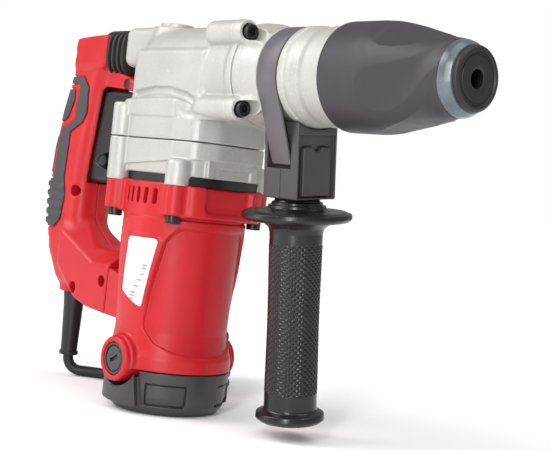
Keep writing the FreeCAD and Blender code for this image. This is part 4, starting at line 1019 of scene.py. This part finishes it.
def trim(thing, point, normal):
    """Cuts off what lies beyond a plane and closes the cut."""
    work = bmesh.new()
    work.from_mesh(thing.data)
    made = bmesh.ops.bisect_plane(
        work, geom=work.verts[:] + work.edges[:] + work.faces[:], plane_co=Vector(point) * MM,
        plane_no=normal, clear_outer=True)
    bmesh.ops.holes_fill(work, edges=[e for e in made["geom_cut"] if isinstance(e, bmesh.types.BMEdge)])
    work.to_mesh(thing.data)
    work.free()


build_screws()


# ---------------------------------------------------------------- cord


CORD_D = 8.0
LIE_Z = BASE_Z + CORD_D / 2
COIL = (-337.0, 71.0)


def cord_points():
    """The cord's control points: the drop from the handle, the wound coil, the lead to the plug."""
    x = CORD_X
    points = [
        (x, 0, -220), (x, 0, -223.1), (x + 0.85, 0.95, -227), (x + 2.9, 3.2, -230.3), (x + 5.6, 6.3, LIE_Z),
        (x + 10.8, 11.7, LIE_Z), (x + 19.9, 19, LIE_Z), (x + 31.7, 24.5, LIE_Z)]
    places = [(44, 0), (36, 0), (36, 8), (44, 8), (44, 16), (36, 16), (36, 24), (44, 24), (44, 32)]
    steps, whole = 24, 2600.0
    count = int(whole / 360 * steps)
    for step in range(count + 1):
        turned_by = whole * step / count
        strand = 0.0
        for place in range(len(places) - 1):
            share = min(1.0, max(0.0, (turned_by - 360 * place - (6 - place) * 45) / 90))
            strand += share * share * (3 - 2 * share)
        first = min(int(strand), len(places) - 2)
        share = strand - first
        radius = places[first][0] * (1 - share) + places[first + 1][0] * share
        height = places[first][1] * (1 - share) + places[first + 1][1] * share
        angle = math.radians(turned_by - 90)
        points.append((
            COIL[0] + radius * math.cos(angle), COIL[1] + radius * math.sin(angle), LIE_Z + height))
    leave = math.radians(-10)
    for out, beside, rise in (
            (43.3, 8.6, 33), (36.9, 21.8, 35), (25.6, 31.3, 37.8), (11.5, 35.2, 40), (-2, 35.2, 40.6)):
        points.append((
            COIL[0] + out * math.cos(leave) - beside * math.sin(leave),
            COIL[1] + out * math.sin(leave) + beside * math.cos(leave), LIE_Z + rise))
    return points


def build_cord():
    line = bpy.data.curves.new("mains_lead", "CURVE")
    line.dimensions = "3D"
    spline = line.splines.new("NURBS")
    points = cord_points()
    spline.points.add(len(points) - 1)
    for place, point in zip(spline.points, points):
        place.co = (*(Vector(point) * MM), 1)
    spline.order_u = 3
    spline.use_endpoint_u = True
    spline.resolution_u = 8
    line.bevel_depth = CORD_D / 2 * MM
    line.bevel_resolution = 5
    line.use_fill_caps = True
    cord = show(bpy.data.objects.new("mains_lead", line))
    line.materials.append(CORD)
    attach(cord, "rear_handle")
    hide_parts("cord_tube", "cord_coil")


build_cord()


# ---------------------------------------------------------------- floor, light and camera


def build_floor():
    mesh = bpy.data.meshes.new("floor")
    reach = 9.0
    mesh.from_pydata(
        [(-reach, -reach, 0), (reach, -reach, 0), (reach, reach, 0), (-reach, reach, 0)], [], [(0, 1, 2, 3)])
    floor = show(bpy.data.objects.new("floor", mesh))
    floor.location.z = BASE_Z * MM - 0.0003
    mesh.materials.append(finish("floor_paint", (0.96, 0.96, 0.96), 0.6, tint=0.01, patch=0.5, specular=0.2))


def facing(middle, spot):
    return (middle - Vector(spot)).to_track_quat("-Z", "Y").to_euler()


def build_light():
    """Even white surroundings that light the object a little less than they look, and a broad soft key."""
    world = bpy.data.worlds.new("studio")
    bpy.context.scene.world = world
    world.use_nodes = True
    tree = world.node_tree
    background = tree.nodes["Background"]
    background.inputs["Color"].default_value = (1.0, 1.0, 1.0, 1)
    share = tree.nodes.new("ShaderNodeMapRange")
    share.inputs["To Min"].default_value, share.inputs["To Max"].default_value = 0.36, 1.0
    tree.links.new(tree.nodes.new("ShaderNodeLightPath").outputs["Is Camera Ray"], share.inputs["Value"])
    tree.links.new(share.outputs["Result"], background.inputs["Strength"])
    middle = Vector((-0.2, 0, -0.09))
    suns = (("key", (-1.2, -1.5, 1.5), 40, 1.75), ("over", (0.5, 0.1, 2.0), 60, 1.45))
    for name, spot, angle, strength in suns:
        light = bpy.data.lights.new(name, "SUN")
        light.angle, light.energy = math.radians(angle), strength
        show(bpy.data.objects.new(name, light)).rotation_euler = facing(middle, spot)
    panels = (("strip", (0.50, -1.0, 0.2), 0.14, 1.2, 12.0), ("side", (-0.9, -0.9, 0.1), 0.4, 1.0, 3.0))
    for name, spot, width, height, power in panels:
        light = bpy.data.lights.new(name, "AREA")
        light.shape, light.size, light.size_y, light.energy = "RECTANGLE", width, height, power
        lamp = show(bpy.data.objects.new(name, light))
        lamp.location, lamp.rotation_euler = spot, facing(middle, spot)


def build_camera():
    """Seen from in front and to the right, with lengths in millimetres until the matrix is made."""
    azimuth, pitch, roll, away = 0.739209, 0.0281004, 0.108793, 701.478
    toward = Vector((
        math.cos(azimuth) * math.cos(pitch), -math.sin(azimuth) * math.cos(pitch), math.sin(pitch)))
    right = Vector((math.sin(azimuth), math.cos(azimuth), 0))
    up = toward.cross(right)
    spot = (right * -104.457 + up * -93.556 + toward * away) * MM
    across = right * math.cos(roll) + up * math.sin(roll)
    over = up * math.cos(roll) - right * math.sin(roll)
    data = bpy.data.cameras.new("camera")
    data.lens, data.sensor_width = 82.15, 36
    data.clip_start, data.clip_end = 0.05, 60
    camera = bpy.data.objects.new("camera", data)
    camera.matrix_world = Matrix((
        (across.x, over.x, toward.x, spot.x), (across.y, over.y, toward.y, spot.y),
        (across.z, over.z, toward.z, spot.z), (0, 0, 0, 1)))
    bpy.context.scene.camera = show(camera)


build_floor()
build_light()
build_camera()
bpy.context.scene.view_settings.view_transform = "Standard"
